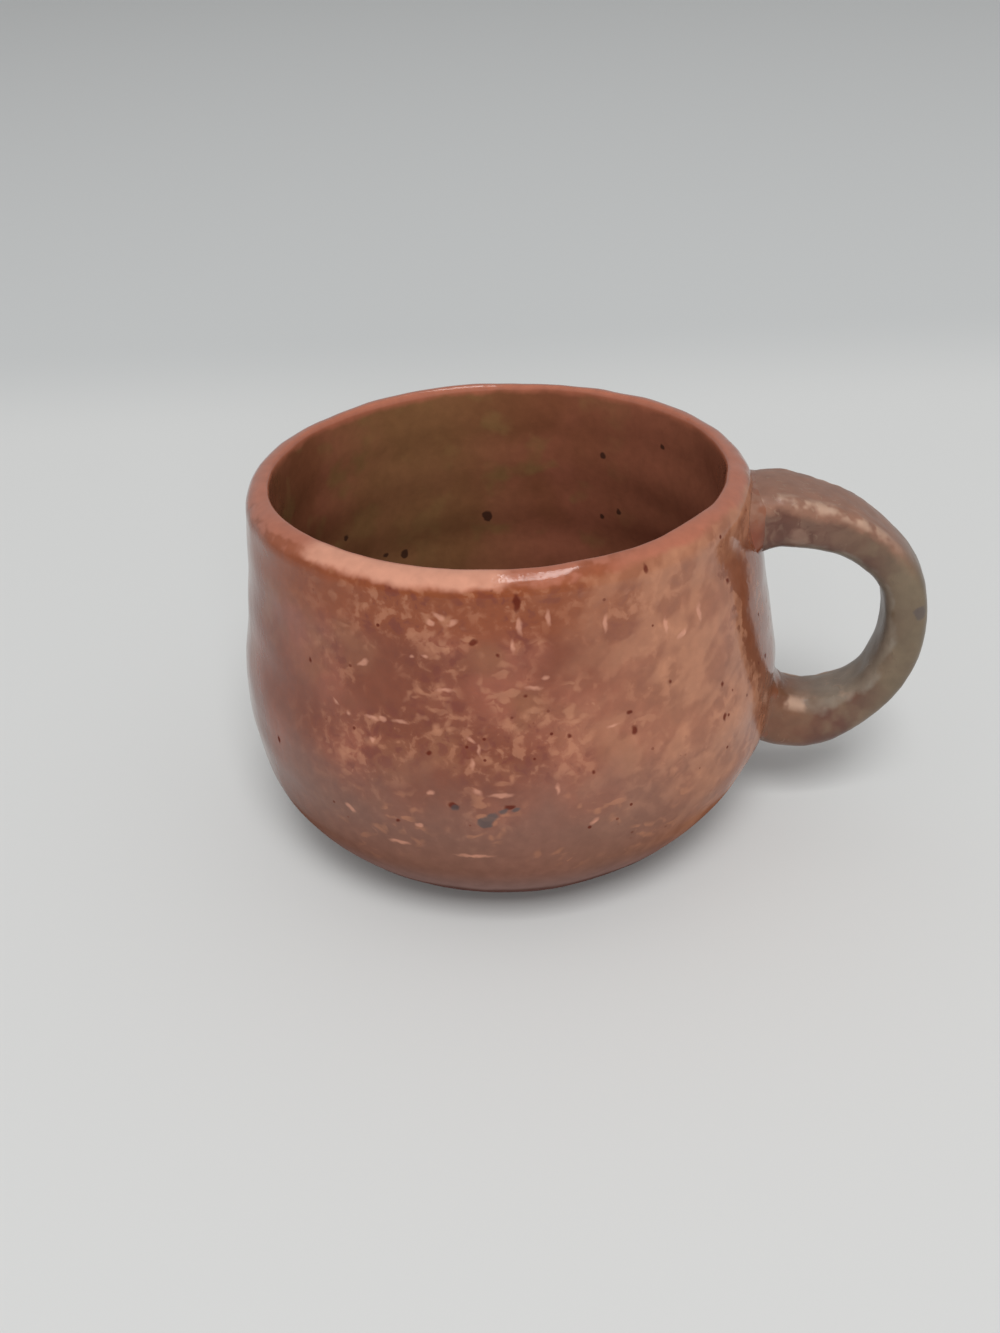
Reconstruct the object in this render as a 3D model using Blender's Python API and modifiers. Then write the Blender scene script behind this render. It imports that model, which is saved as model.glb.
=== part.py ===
"""Hand-thrown stoneware mug, in metres, standing on Z = 0 with the cup's axis on Z and the handle towards +X.

The potter makes four pieces of clay: the thrown cup, the pulled strap handle, and the two soft clay
collars that are worked round the handle's roots to lute it to the wall. Each is its own solid here.
"""
import math

import bmesh
import bpy
from mathutils import Vector
from mathutils.geometry import interpolate_bezier

# Cup: its outside is two arcs that meet, upright, at the belly
CUP_HEIGHT = 0.0710
RIM_RADIUS = 0.0452          # outside of the lip
RIM_LEAN = math.radians(3)   # the wall leans in this much at the lip
WAIST_SWEEP = 0.0220         # length of the arc's tangent at the lip, which makes the waist
BELLY_RADIUS = 0.0489
BELLY_HEIGHT = 0.0342
BELLY_SWEEP_UP = 0.0050      # lengths of the tangents above and below the belly
BELLY_SWEEP_DOWN = 0.0190
FOOT_RADIUS = 0.0314
FOOT_RISE = math.radians(32)  # the wall leaves the foot at this slope
FOOT_SWEEP = 0.0150
FOOT_BEVEL = 0.0009          # edge trimmed off with a turning tool

# Cup: lip, wall and floor
LIP_THICKNESS = 0.0047
LIP_SHOULDER = 0.0040        # the lip slopes down this far from its crest to the outer wall
LIP_ROUND = 0.0008           # the crest stands this far out from the inner wall
LIP_ROUND_DEPTH = 0.0011     # height of the small rounding inside the crest
WALL_AT_FOOT = 0.0058        # a thrown wall thins as it is drawn up
FLOOR_THICKNESS = 0.0065
FLOOR_DISH = 0.0008          # the floor is this much lower at its middle
FLOOR_CORNER = 0.0100        # curve between floor and wall
FLOOR_FLATNESS = 0.4         # share of the floor that stays nearly level at the middle
CORNER_PULL = 0.55           # pull of the corner's tangents: 0.55 is close to a quarter circle

# Rings that the potter's fingers leave while the cup turns
OUTER_RING_HEIGHT = 0.00007
OUTER_RING_PITCH = 0.0118
INNER_RING_HEIGHT = 0.00020
INNER_RING_PITCH = 0.0104
RING_MARGIN = 0.0110         # the rings die out this near the lip and the foot

# Handle: the middle line of the strap, each place as (reach beyond the lip, drop below the lip)
UPPER_ROOT_DROP = 0.0089
STRAP_SHOULDER = (0.0060, 0.0083)
STRAP_BROW = (0.0181, 0.0122)
STRAP_KNUCKLE = (0.0276, 0.0230)
STRAP_HEEL = (0.0256, 0.0409)
STRAP_TUCK = (0.0137, 0.0503)
LOWER_ROOT_DROP = 0.0481

# Handle: a strap, squarish in section, that is pulled thinner from its top and left thick at its tail
STRAP_WIDTH_TOP = 0.0174
STRAP_WIDTH_MIDDLE = 0.0120
STRAP_WIDTH_TAIL = 0.0122
STRAP_THICKNESS_TOP = 0.0108
STRAP_THICKNESS_MIDDLE = 0.0081
STRAP_THICKNESS_TAIL = 0.0119
STRAP_TAPER_END = 0.38       # shares of the strap's length: it thins up to the first,
STRAP_TAIL_START = 0.68      # and fills out again from the second to the third
STRAP_TAIL_END = 0.92
STRAP_SQUARENESS = 2.9       # exponent of the rounded section: 2 is an ellipse
THUMB_GROOVE = 0.0005        # the potter's thumb hollows the strap's outer face this deep
ROOT_FLARE = 0.0003          # the strap spreads this much where it is pressed to the wall
ROOT_FLARE_LENGTH = 0.0090
ROOT_SINK = 0.0060           # drawn this far into the wall before it is cut to its seat
ROOT_SHARE = 0.25            # share of the strap's length on which a collar's rings are looked for

# Collars of soft clay: a bulge over 1 is a bead, under 1 a hollow fillet
UPPER_COLLAR_CLAY = 0.0013   # clay round the strap at the wall
UPPER_COLLAR_LENGTH = 0.0032
UPPER_COLLAR_BULGE = 1.7
UPPER_COLLAR_SAG = 0.0004    # the bead hangs this much below the strap's middle
LOWER_COLLAR_CLAY = 0.0028
LOWER_COLLAR_LENGTH = 0.0056
LOWER_COLLAR_BULGE = 0.85
LOWER_COLLAR_SAG = 0.0
COLLAR_SQUARENESS = 2.3      # section of a collar at the wall: rounder than the strap's
COLLAR_EDGE = 0.0008         # clay at a collar's thin edge
COLLAR_SINK = 0.0025         # drawn this far into the wall before it is cut to its seat

SEAT_GAP = 0.0003            # between pieces that are luted together

# Fineness of the facets
CUP_STEPS = 64
CUP_FACET = 0.0026           # length of a facet down the cup's wall
FLOOR_FACET = 2 * CUP_FACET  # the floor is nearly flat
CURVE_POINTS = 33
LIP_ROUND_FACETS = 3
LIP_SHOULDER_FACETS = 6
STRAP_FACET = 0.0026         # length of a facet along the strap
SECTION_POINTS = 28
COLLAR_RINGS = 7
HALVINGS = 18                # halvings of a stretch of strap that find a place on it
AXIS_MERGE = 0.00001

RUST_GLAZE = (0.33, 0.105, 0.055, 1.0)
OLIVE_GLAZE = (0.19, 0.115, 0.065, 1.0)
COLLAR_GLAZE = (0.27, 0.095, 0.045, 1.0)
GLAZE_ROUGHNESS = 0.28


def clear_scene():
    for old in list(bpy.data.objects):
        bpy.data.objects.remove(old, do_unlink=True)


def new_collection(name):
    collection = bpy.data.collections.new(name)
    bpy.context.scene.collection.children.link(collection)
    return collection


def glaze(name, colour):
    material = bpy.data.materials.new(name)
    material.use_nodes = True
    shader = material.node_tree.nodes["Principled BSDF"]
    shader.inputs["Base Color"].default_value = colour
    shader.inputs["Roughness"].default_value = GLAZE_ROUGHNESS
    shader.inputs["Metallic"].default_value = 0.0
    return material


def finish(thing, material, collection):
    thing.data.materials.append(material)
    collection.objects.link(thing)


def make_cutter(thing, collection):
    thing.hide_render = True
    thing.display_type = "WIRE"
    collection.objects.link(thing)


def heading(angle):
    return Vector((math.cos(angle), math.sin(angle)))


def spaced(curve, spacing):
    """The same curve with points about this far apart, its two ends kept."""
    run = [0.0]
    for a, b in zip(curve, curve[1:]):
        run.append(run[-1] + (b - a).length)
    count = max(2, round(run[-1] / spacing))
    points = []
    k = 0
    for i in range(count + 1):
        at = run[-1] * i / count
        while k < len(run) - 2 and run[k + 1] < at:
            k += 1
        share = (at - run[k]) / (run[k + 1] - run[k])
        points.append(curve[k].lerp(curve[k + 1], share))
    return points


def through(stations):
    """A smooth curve through stations, each tangent taken from the neighbours on either side."""
    last = len(stations) - 1
    chords = [(b - a).normalized() for a, b in zip(stations, stations[1:])]
    leans = [(stations[i + 1] - stations[i - 1]).normalized() for i in range(1, last)]
    first_lean = 2 * chords[0].dot(leans[0]) * chords[0] - leans[0]
    last_lean = 2 * chords[-1].dot(leans[-1]) * chords[-1] - leans[-1]
    leans = [first_lean] + leans + [last_lean]
    curve = [stations[0]]
    for i in range(last):
        here, there = stations[i], stations[i + 1]
        third = (there - here).length / 3
        curve += interpolate_bezier(here, here + leans[i] * third, there - leans[i + 1] * third,
                                    there, CURVE_POINTS)[1:]
    return curve


def outer_curve():
    """The outside of the cup as (radius, height), from the foot's bevel up to the start of the lip."""
    foot = Vector((FOOT_RADIUS, FOOT_BEVEL))
    belly = Vector((BELLY_RADIUS, BELLY_HEIGHT))
    lip = Vector((RIM_RADIUS, CUP_HEIGHT - LIP_SHOULDER))
    below = Vector((0, -BELLY_SWEEP_DOWN))
    above = Vector((0, BELLY_SWEEP_UP))
    waist = heading(math.pi / 2 + RIM_LEAN) * WAIST_SWEEP
    bowl = interpolate_bezier(foot, foot + heading(FOOT_RISE) * FOOT_SWEEP, belly + below, belly, CURVE_POINTS)
    collar = interpolate_bezier(belly, belly + above, lip - waist, lip, CURVE_POINTS)
    return spaced(bowl + collar[1:], CUP_FACET)


def offset(curve, distance_at):
    """The curve moved to its right by distance_at(height): outwards on a curve that climbs."""
    moved = []
    for i, point in enumerate(curve):
        along = curve[min(i + 1, len(curve) - 1)] - curve[max(i - 1, 0)]
        moved.append(point + Vector((along.y, -along.x)).normalized() * distance_at(point.y))
    return moved


def radius_at(curve, height):
    """The radius of a climbing curve at a height, or that of its nearer end beyond it."""
    for low, high in zip(curve, curve[1:]):
        if low.y <= height < high.y:
            return low.x + (high.x - low.x) * (height - low.y) / (high.y - low.y)
    return curve[-1].x if height >= curve[-1].y else curve[0].x


def ringed(curve, ring_height, pitch):
    """Adds throwing rings to a curve, dying out near its ends."""
    low, high = curve[0].y, curve[-1].y
    made = []
    for point in curve:
        strength = min(1.0, (point.y - low) / RING_MARGIN, (high - point.y) / RING_MARGIN)
        wave = ring_height * math.sin(2 * math.pi * point.y / pitch)
        made.append(point + Vector((wave * strength, 0)))
    return made


def outer_wall():
    return ringed(outer_curve(), OUTER_RING_HEIGHT, OUTER_RING_PITCH)


def wall_thickness(height):
    return WALL_AT_FOOT + (LIP_THICKNESS - WALL_AT_FOOT) * height / CUP_HEIGHT


def inner_wall():
    """The inside of the cup, from the middle of the floor up to the start of the lip."""
    face = offset(outer_curve(), lambda height: -wall_thickness(height))
    bend_top = Vector((radius_at(face, FLOOR_THICKNESS + FLOOR_CORNER), FLOOR_THICKNESS + FLOOR_CORNER))
    corner = Vector((radius_at(face, FLOOR_THICKNESS), FLOOR_THICKNESS))
    floor_edge = corner - Vector((FLOOR_CORNER, 0))
    middle = Vector((0, FLOOR_THICKNESS - FLOOR_DISH))
    lip = Vector((RIM_RADIUS - LIP_THICKNESS, CUP_HEIGHT - LIP_ROUND_DEPTH))
    straight = [p for p in face if bend_top.y + CUP_FACET / 2 < p.y < lip.y - CUP_FACET / 2]
    floor = interpolate_bezier(middle, middle.lerp(Vector((floor_edge.x, middle.y)), FLOOR_FLATNESS),
                               floor_edge - Vector((FLOOR_CORNER, 0)), floor_edge, CURVE_POINTS)
    slope = (straight[0] - bend_top).normalized()
    bend = interpolate_bezier(floor_edge, floor_edge.lerp(corner, CORNER_PULL),
                              bend_top - slope * FLOOR_CORNER * CORNER_PULL, bend_top, CURVE_POINTS)
    wall = ringed([bend_top] + straight + [lip], INNER_RING_HEIGHT, INNER_RING_PITCH)
    return spaced(floor, FLOOR_FACET)[:-1] + spaced(bend, CUP_FACET)[:-1] + wall


def quarter_turns(facets):
    return [math.pi / 2 * i / facets for i in range(1, facets)]


def lip_crest():
    return Vector((RIM_RADIUS - LIP_THICKNESS + LIP_ROUND, CUP_HEIGHT))


def lip_round():
    """The small rounding from the inner wall up to the lip's crest, without its ends."""
    crest = lip_crest()
    return [crest + Vector((-LIP_ROUND * math.cos(turn), LIP_ROUND_DEPTH * (math.sin(turn) - 1)))
            for turn in quarter_turns(LIP_ROUND_FACETS)]


def lip_shoulder():
    """The lip's sloping outer side, climbing from the outer wall to the crest, with the crest."""
    crest = lip_crest()
    width = RIM_RADIUS - crest.x
    return [crest + Vector((width * math.cos(turn), LIP_SHOULDER * (math.sin(turn) - 1)))
            for turn in quarter_turns(LIP_SHOULDER_FACETS)] + [crest]


def turned(name, profile):
    """Turns a profile of (radius, height) points, given down its outer side, about Z."""
    mesh = bpy.data.meshes.new(name)
    points = [(p.x, 0.0, p.y) for p in profile]
    mesh.from_pydata(points, [(i, i + 1) for i in range(len(points) - 1)], [])
    thing = bpy.data.objects.new(name, mesh)
    screw = thing.modifiers.new("Turn", "SCREW")
    screw.axis = "Z"
    screw.steps = screw.render_steps = CUP_STEPS
    screw.use_merge_vertices = True
    screw.merge_threshold = AXIS_MERGE
    screw.use_smooth_shade = True
    return thing


def make_cup():
    outside = outer_wall() + lip_shoulder()
    foot = [Vector((FOOT_RADIUS - FOOT_BEVEL, 0)), Vector((0, 0))]
    return turned("cup_body", inner_wall() + lip_round() + outside[::-1] + foot)


def make_seat_cutter():
    """The cup's outer form as one solid, grown by the seat gap: what is luted to the wall is cut by it."""
    grown = offset(outer_wall() + lip_shoulder(), lambda height: SEAT_GAP)
    profile = [Vector((0, grown[-1].y))] + grown[::-1]
    return turned("seat_cutter", profile + [Vector((grown[0].x, -SEAT_GAP)), Vector((0, -SEAT_GAP))])


def strap_line():
    """The strap's middle line in (X, Z), from root to root, and then drawn on into the wall at both ends."""
    wall = outer_curve()
    upper = CUP_HEIGHT - UPPER_ROOT_DROP
    lower = CUP_HEIGHT - LOWER_ROOT_DROP
    free = [STRAP_SHOULDER, STRAP_BROW, STRAP_KNUCKLE, STRAP_HEEL, STRAP_TUCK]
    stations = [Vector((radius_at(wall, upper), upper))]
    stations += [Vector((RIM_RADIUS + reach, CUP_HEIGHT - drop)) for reach, drop in free]
    stations += [Vector((radius_at(wall, lower), lower))]
    line = spaced(through(stations), STRAP_FACET)
    into_upper = (line[0] - line[1]).normalized() * ROOT_SINK
    into_lower = (line[-1] - line[-2]).normalized() * ROOT_SINK
    return [line[0] + into_upper] + line + [line[-1] + into_lower]


def strap_stations():
    """(distance from the upper root, place, direction) at each point of the strap's line."""
    line = strap_line()
    stations = []
    distance = -ROOT_SINK
    for i, place in enumerate(line):
        distance += (place - line[i - 1]).length if i else 0.0
        along = (line[min(i + 1, len(line) - 1)] - line[max(i - 1, 0)]).normalized()
        stations.append((distance, place, along))
    return stations


def strap_length(stations):
    return stations[-1][0] - ROOT_SINK


def station_at(stations, distance):
    """A station between the given ones, at a distance from the upper root."""
    k = max(i for i, station in enumerate(stations[:-1]) if station[0] <= distance)
    near, far = stations[k], stations[k + 1]
    share = (distance - near[0]) / (far[0] - near[0])
    return distance, near[1].lerp(far[1], share), near[2].lerp(far[2], share).normalized()


def eased(share):
    """A share from 0 to 1 that starts and ends gently, held at 0 before it and at 1 after it."""
    held = min(max(share, 0.0), 1.0)
    return held * held * (3 - 2 * held)


def strap_measure(share, top, middle, tail):
    """The strap's width or thickness at a share of its length, from what it is at three places."""
    thinned = eased(share / STRAP_TAPER_END)
    filled = eased((share - STRAP_TAIL_START) / (STRAP_TAIL_END - STRAP_TAIL_START))
    return top + (middle - top) * thinned + (tail - middle) * filled


def strap_point(station, length, turn, grow, sag=0.0, squareness=STRAP_SQUARENESS):
    """The point of the strap's skin at one turn of its section, grown outwards and hung sag lower."""
    distance, place, along = station
    share = min(max(distance / length, 0.0), 1.0)
    to_root = max(min(distance, length - distance), 0.0)
    flare = ROOT_FLARE * max(0.0, 1 - to_root / ROOT_FLARE_LENGTH) ** 2
    width = strap_measure(share, STRAP_WIDTH_TOP, STRAP_WIDTH_MIDDLE, STRAP_WIDTH_TAIL)
    thickness = strap_measure(share, STRAP_THICKNESS_TOP, STRAP_THICKNESS_MIDDLE, STRAP_THICKNESS_TAIL)
    half_width = width / 2 + flare + grow
    half_thick = thickness / 2 + flare + grow
    across = math.copysign(abs(math.cos(turn)) ** (2 / squareness), math.cos(turn))
    out = math.copysign(abs(math.sin(turn)) ** (2 / squareness), math.sin(turn))
    hollow = THUMB_GROOVE * math.sin(math.pi * share) * max(out, 0.0) * (1 - across ** 2)
    spot = place + Vector((-along.y, along.x)) * (half_thick * out - hollow)
    return Vector((spot.x, half_width * across, spot.y - sag))


def section_turns():
    return [2 * math.pi * i / SECTION_POINTS for i in range(SECTION_POINTS)]


def loft(name, rings):
    """A closed solid through rings of equally many points, with a flat cap at each end."""
    body = bmesh.new()
    rows = [[body.verts.new(point) for point in ring] for ring in rings]
    for low, high in zip(rows, rows[1:]):
        for i in range(len(low)):
            j = (i + 1) % len(low)
            body.faces.new((low[i], low[j], high[j], high[i]))
    body.faces.new(rows[0])
    body.faces.new(rows[-1])
    bmesh.ops.recalc_face_normals(body, faces=body.faces)
    mesh = bpy.data.meshes.new(name)
    body.to_mesh(mesh)
    body.free()
    mesh.shade_smooth()
    return bpy.data.objects.new(name, mesh)


def make_strap(name, grow):
    stations = strap_stations()
    length = strap_length(stations)
    return loft(name, [[strap_point(s, length, turn, grow) for turn in section_turns()] for s in stations])


def station_off_wall(stations, length, wall, turn, gap, at_tail):
    """Where, near one root, the strap's skin at this turn of its section stands gap off the cup's wall."""
    near, far = -ROOT_SINK, length * ROOT_SHARE
    for _ in range(HALVINGS):
        middle = (near + far) / 2
        station = station_at(stations, length - middle if at_tail else middle)
        point = strap_point(station, length, turn, 0.0)
        if math.hypot(point.x, point.y) - radius_at(wall, point.z) < gap:
            near = middle
        else:
            far = middle
    return station


def make_collar(name, at_tail, clay, reach, bulge, sag):
    """A collar round one root, in rings that each keep one distance from the wall, out to its thin edge."""
    wall = outer_curve()
    stations = strap_stations()
    length = strap_length(stations)
    sections = [(-COLLAR_SINK, 1.0)]
    for i in range(COLLAR_RINGS + 1):
        lean = math.pi / 2 * i / COLLAR_RINGS
        sections.append((reach * math.sin(lean) ** (2 / bulge), max(math.cos(lean), 0.0) ** (2 / bulge)))
    rings = []
    for gap, fullness in sections:
        thickness = COLLAR_EDGE + (clay - COLLAR_EDGE) * fullness
        squareness = STRAP_SQUARENESS + (COLLAR_SQUARENESS - STRAP_SQUARENESS) * fullness
        ring = []
        for turn in section_turns():
            station = station_off_wall(stations, length, wall, turn, gap, at_tail)
            ring.append(strap_point(station, length, turn, thickness, sag, squareness))
        rings.append(ring)
    return loft(name, rings)


def cut(thing, cutter):
    modifier = thing.modifiers.new("Cut by " + cutter.name, "BOOLEAN")
    modifier.operation = "DIFFERENCE"
    modifier.solver = "EXACT"
    modifier.object = cutter


def main():
    clear_scene()
    mug = new_collection("pottery_mug")
    cutters = new_collection("cutters")
    seat = make_seat_cutter()
    socket = make_strap("socket_cutter", SEAT_GAP)
    make_cutter(seat, cutters)
    make_cutter(socket, cutters)

    finish(make_cup(), glaze("rust_glaze", RUST_GLAZE), mug)

    handle = make_strap("handle", 0.0)
    cut(handle, seat)
    finish(handle, glaze("olive_glaze", OLIVE_GLAZE), mug)

    upper = make_collar("upper_joint_collar", False, UPPER_COLLAR_CLAY, UPPER_COLLAR_LENGTH,
                        UPPER_COLLAR_BULGE, UPPER_COLLAR_SAG)
    lower = make_collar("lower_joint_collar", True, LOWER_COLLAR_CLAY, LOWER_COLLAR_LENGTH,
                        LOWER_COLLAR_BULGE, LOWER_COLLAR_SAG)
    pooled = glaze("pooled_glaze", COLLAR_GLAZE)
    for collar in (upper, lower):
        cut(collar, socket)
        cut(collar, seat)
        finish(collar, pooled, mug)


main()
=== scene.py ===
"""Pottery mug: the finished look of a hand-thrown stoneware cup with a pulled strap handle.

The potter throws the cup, pulls the strap and lutes it to the wall with collars of soft clay. One iron glaze
covers it: rust where it is thick, salmon where it is thin, khaki and then mauve towards the foot, and khaki
along the strap.
Sizes are in metres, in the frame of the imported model: the cup's axis is Z, and the handle reaches towards +X.
"""
import math

import bmesh
import bpy
from mathutils import Matrix, Vector, noise
from mathutils.bvhtree import BVHTree
from mathutils.geometry import interpolate_bezier


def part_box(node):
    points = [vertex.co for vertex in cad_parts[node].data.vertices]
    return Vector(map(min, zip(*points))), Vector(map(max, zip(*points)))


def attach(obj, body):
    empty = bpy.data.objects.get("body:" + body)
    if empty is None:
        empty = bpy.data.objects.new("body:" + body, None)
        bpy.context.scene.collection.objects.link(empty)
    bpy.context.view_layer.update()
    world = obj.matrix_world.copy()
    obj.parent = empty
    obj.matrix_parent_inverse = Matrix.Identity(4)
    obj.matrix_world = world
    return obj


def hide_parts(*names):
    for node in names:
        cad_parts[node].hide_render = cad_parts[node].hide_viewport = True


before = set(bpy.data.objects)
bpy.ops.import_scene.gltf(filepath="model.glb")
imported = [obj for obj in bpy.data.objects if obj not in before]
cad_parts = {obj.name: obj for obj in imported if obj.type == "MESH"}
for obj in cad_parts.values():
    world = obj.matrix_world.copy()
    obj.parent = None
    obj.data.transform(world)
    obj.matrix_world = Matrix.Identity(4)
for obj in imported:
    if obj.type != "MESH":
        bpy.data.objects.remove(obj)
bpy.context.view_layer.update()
CUP_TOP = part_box("cup_body")[1].z

bl_info = {
    "name": "Pottery Mug",
    "version": (1, 0, 0),
    "blender": (4, 5, 0),
    "location": "3D View > Sidebar > Pottery Mug",
    "description": "Throws, handles, lutes and glazes a stoneware mug over its packed model",
    "category": "Add Mesh",
}

MM = 0.001
FULL_TURN = 2 * math.pi

# Outside of the cup: two arcs that meet, upright, at the belly, as (radius, height) and tangent lengths
RIM_LEAN = math.radians(3)
WAIST_SWEEP = 0.0220
BELLY_HEIGHT = 0.0342
BELLY_SWEEP_UP = 0.0050
BELLY_SWEEP_DOWN = 0.0190
FOOT_RADIUS = 0.0314
FOOT_RISE = math.radians(32)
FOOT_SWEEP = 0.0150
FOOT_BEVEL = 0.0009
FOOT_RINGS = (1.0, 0.97, 0.8, 0.6, 0.4, 0.2, 0.0)      # of points under the foot, as shares of its radius
WALL_AT_FOOT = 0.0058
FLOOR_THICKNESS = 0.0065
FLOOR_DISH = 0.0008
FLOOR_CORNER = 0.0100
FLOOR_LEVEL_SHARE = 0.4        # how much of the way to its corner the floor sets out level from the middle
CORNER_FULLNESS = 0.55         # a rounding's tangents as shares of its sides, near those of a circle
LIP_ROUND_STRETCH = 1.4        # the lip's inner rounding is this much taller than it is wide

# Facets down the cup's profile
ARC_POINTS = 97                # points on each arc, before they are evened out
WALL_FACET = 0.9 * MM
FLOOR_FACET = 2.2 * MM
LIP_FACETS = 8
SHOULDER_FACETS = 16
WELD = MM / 100                # points nearer than this are welded into one

# Marks that hands leave in the clay, by size across
WALL_LUMP = 24 * MM
WALL_DENT = 8 * MM
LIP_WAVE = 11 * MM
LIP_WANDER = 0.7               # measured on a circle of radius 1
STRAP_LUMP = 11 * MM
STRAP_DENT = 4 * MM
EDGE_NOTCH = 2.6 * MM

# Where marks and swellings of the cup fade, as (none at, whole at)
NEAR_LIP = (9 * MM, 1 * MM)              # by the drop below the lip
OFF_FOOT = (0.6 * MM, 7 * MM)            # by the height
FULL_SIDE = (0.35, 1.0)                  # by the share of a direction that points to the handle
FULL_FROM = (12 * MM, 26 * MM)           # by the height
FULL_UP_TO = (66 * MM, 52 * MM)
RAISED_FRONT = (0.3, -0.9)               # by the share of a direction that points away from the front

# Middle line of the strap, as (reach beyond the lip, drop below the lip) between its two roots
UPPER_ROOT_DROP = 0.0089
STRAP_ROUTE = [(0.0060, 0.0083), (0.0181, 0.0122), (0.0276, 0.0230), (0.0256, 0.0409), (0.0137, 0.0503)]
LOWER_ROOT_DROP = 0.0481
STRAP_TAPER_END = 0.38         # shares of the strap's length: it thins up to the first,
STRAP_TAIL_START = 0.68        # and fills out again from the second to the third
STRAP_TAIL_END = 0.92
ROOT_SINK = 2.6 * MM
ROOT_FLARE = 0.3 * MM
ROOT_FLARE_LENGTH = 9.0 * MM
STRAP_FACET = 0.45 * MM

# Raised edges of the strap, outside near its top and inside near its tail, as (none at, whole at): by the
# place between a face's middle and its corner, and by the way down the strap where the edge ends and starts
OUTER_EDGE = ((0.50, 0.66), (0.38, 0.22), (-0.02, 0.06))
INNER_EDGE = ((-0.50, -0.66), (0.99, 0.95), (0.72, 0.80))

# Collars of soft clay: the clay on the wall and its reach up the strap are in mm. The skin of a collar runs
# from its foot on the wall to its edge on the strap. It leaves the foot by the first slide, a share of the
# way to the root, and by the first lift, in mm off the wall, and comes down on the strap likewise: lifts make
# a bead, and slides alone make a hollow fillet. The seed picks its unevenness
UPPER_COLLAR = {"clay": 1.2, "reach": 2.4, "wall_slide": 0.40, "wall_lift": 0.35, "strap_slide": 0.35,
                "strap_lift": 0.3, "seed": 8.0}
LOWER_COLLAR = {"clay": 3.0, "reach": 5.2, "wall_slide": 0.65, "wall_lift": 0.1, "strap_slide": 0.65,
                "strap_lift": 0.0, "seed": 3.0}
COLLAR_TURNS = 160
COLLAR_ROWS = 18
COLLAR_SINK = 0.9 * MM         # how far a collar's hidden side lies inside the wall and the strap
COLLAR_BITE = 0.12 * MM        # how far its foot and its edge are pressed in
COLLAR_DENTS = 0.10 * MM       # depth of the marks on it
COLLAR_DENT = 3 * MM           # size across of such a mark
TOP_SQUEEZE = 0.75             # the upper clay is pressed this much thinner over and under the strap
TAIL_SQUEEZE = 0.55            # the lower clay is pressed this much thinner under the strap than above it
PRESS = 0.25                   # unevenness of the clay round a collar
PRESS_PACE = 2.3               # how often it changes on the way round
ROOT_SEARCH = 0.25             # share of the strap's length in which a root is looked for
HALVINGS = 16
WALL_SKIP = 3                  # every third point of the wall is enough to find a root by

# Marks in the glaze, by how they are drawn out: (tilt in degrees, length over width), and then for each mark
# (degrees round the cup from the side away from the handle, height in mm, half width in mm)
IRON_SPOTS = {
    (0, 1.0): [(90.0, 61.0, 0.60), (80.5, 41.2, 0.45), (120.2, 45.6, 0.40), (107.9, 43.7, 0.38),
               (129.9, 48.6, 0.36), (94.6, 58.6, 0.34), (73.0, 27.0, 0.32), (99.5, 51.5, 0.32),
               (112.0, 36.5, 0.36), (163.7, 40.6, 0.50), (52.0, 52.0, 0.36), (150.0, 60.0, 0.34)],
    (90, 1.6): [(121.0, 42.2, 0.46), (143.2, 37.8, 0.42), (143.8, 43.6, 0.36), (126.0, 69.0, 0.45),
                (40.5, 33.0, 0.45)],
    (90, 2.6): [(98.6, 67.2, 0.52)],
    (20, 1.6): [(95.7, 31.9, 0.50)],
    (-20, 1.6): [(84.7, 31.9, 0.58)]}
BLUE_SPOTS = {
    (38, 2.0): [(92.0, 29.4, 0.75), (94.6, 31.0, 0.40)],
    (15, 1.3): [(90.9, 28.7, 1.00), (96.8, 31.2, 0.45), (85.0, 31.6, 0.55)]}
PALE_STROKES = {
    (0, 4.0): [(68.2, 45.7, 0.27), (74.6, 46.0, 0.30), (94.2, 34.2, 0.42), (101.3, 52.6, 0.25),
               (84.0, 52.4, 0.30), (116.8, 44.0, 0.22), (72.5, 22.0, 0.40)],
    (0, 9.0): [(88.2, 20.9, 0.27)],
    (0, 1.3): [(70.6, 45.9, 0.42), (62.6, 45.4, 0.28), (80.1, 58.0, 0.34), (77.2, 57.6, 0.28),
               (81.6, 63.9, 0.52), (103.6, 54.2, 0.36), (77.5, 27.0, 0.50), (80.3, 34.0, 0.46),
               (68.4, 41.8, 0.38)],
    (-35, 2.2): [(59.4, 46.5, 0.28), (88.7, 43.9, 0.27), (89.7, 34.8, 0.40), (83.3, 65.2, 0.42),
                 (61.7, 26.8, 0.46)],
    (30, 2.4): [(66.4, 55.0, 0.46), (86.0, 64.0, 0.36), (112.0, 26.8, 0.32), (134.0, 56.0, 0.40)],
    (90, 3.0): [(90.2, 42.2, 0.25), (88.9, 39.9, 0.24), (97.4, 60.2, 0.30), (99.0, 63.4, 0.42),
                (104.6, 64.4, 0.38), (116.5, 61.6, 0.42), (139.0, 58.2, 0.45), (130.0, 58.5, 0.38),
                (105.0, 34.6, 0.30)]}
INSIDE_SPOTS = {
    (0, 1.0): [(-80.5, 41.5, 1.20), (-115.5, 57.3, 0.72), (-114.1, 43.1, 0.62), (-119.9, 45.1, 0.72),
               (-36.3, 44.7, 0.64), (-56.2, 35.4, 0.95), (-50.3, 36.6, 0.62), (-137.0, 63.0, 0.62),
               (20.0, 30.0, 0.66), (75.0, 48.0, 0.60), (118.0, 38.0, 0.78), (160.0, 52.0, 0.60)]}
DARK_DABS = [(75.6, -5.5, 45.0, 1.7)]        # on the strap: (x, y, z, half width) in mm
PALE_DABS = [(52.7, -7.5, 60.9, 2.3)]
MARK_EDGE = 0.22 * MM          # softness of a mark's edge
SPECK_CORE = 0.6               # share of a scattered speck's radius that is whole
RAGGED_SIZE = 1.6 * MM         # size of the waves that make the marks' outlines ragged
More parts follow.
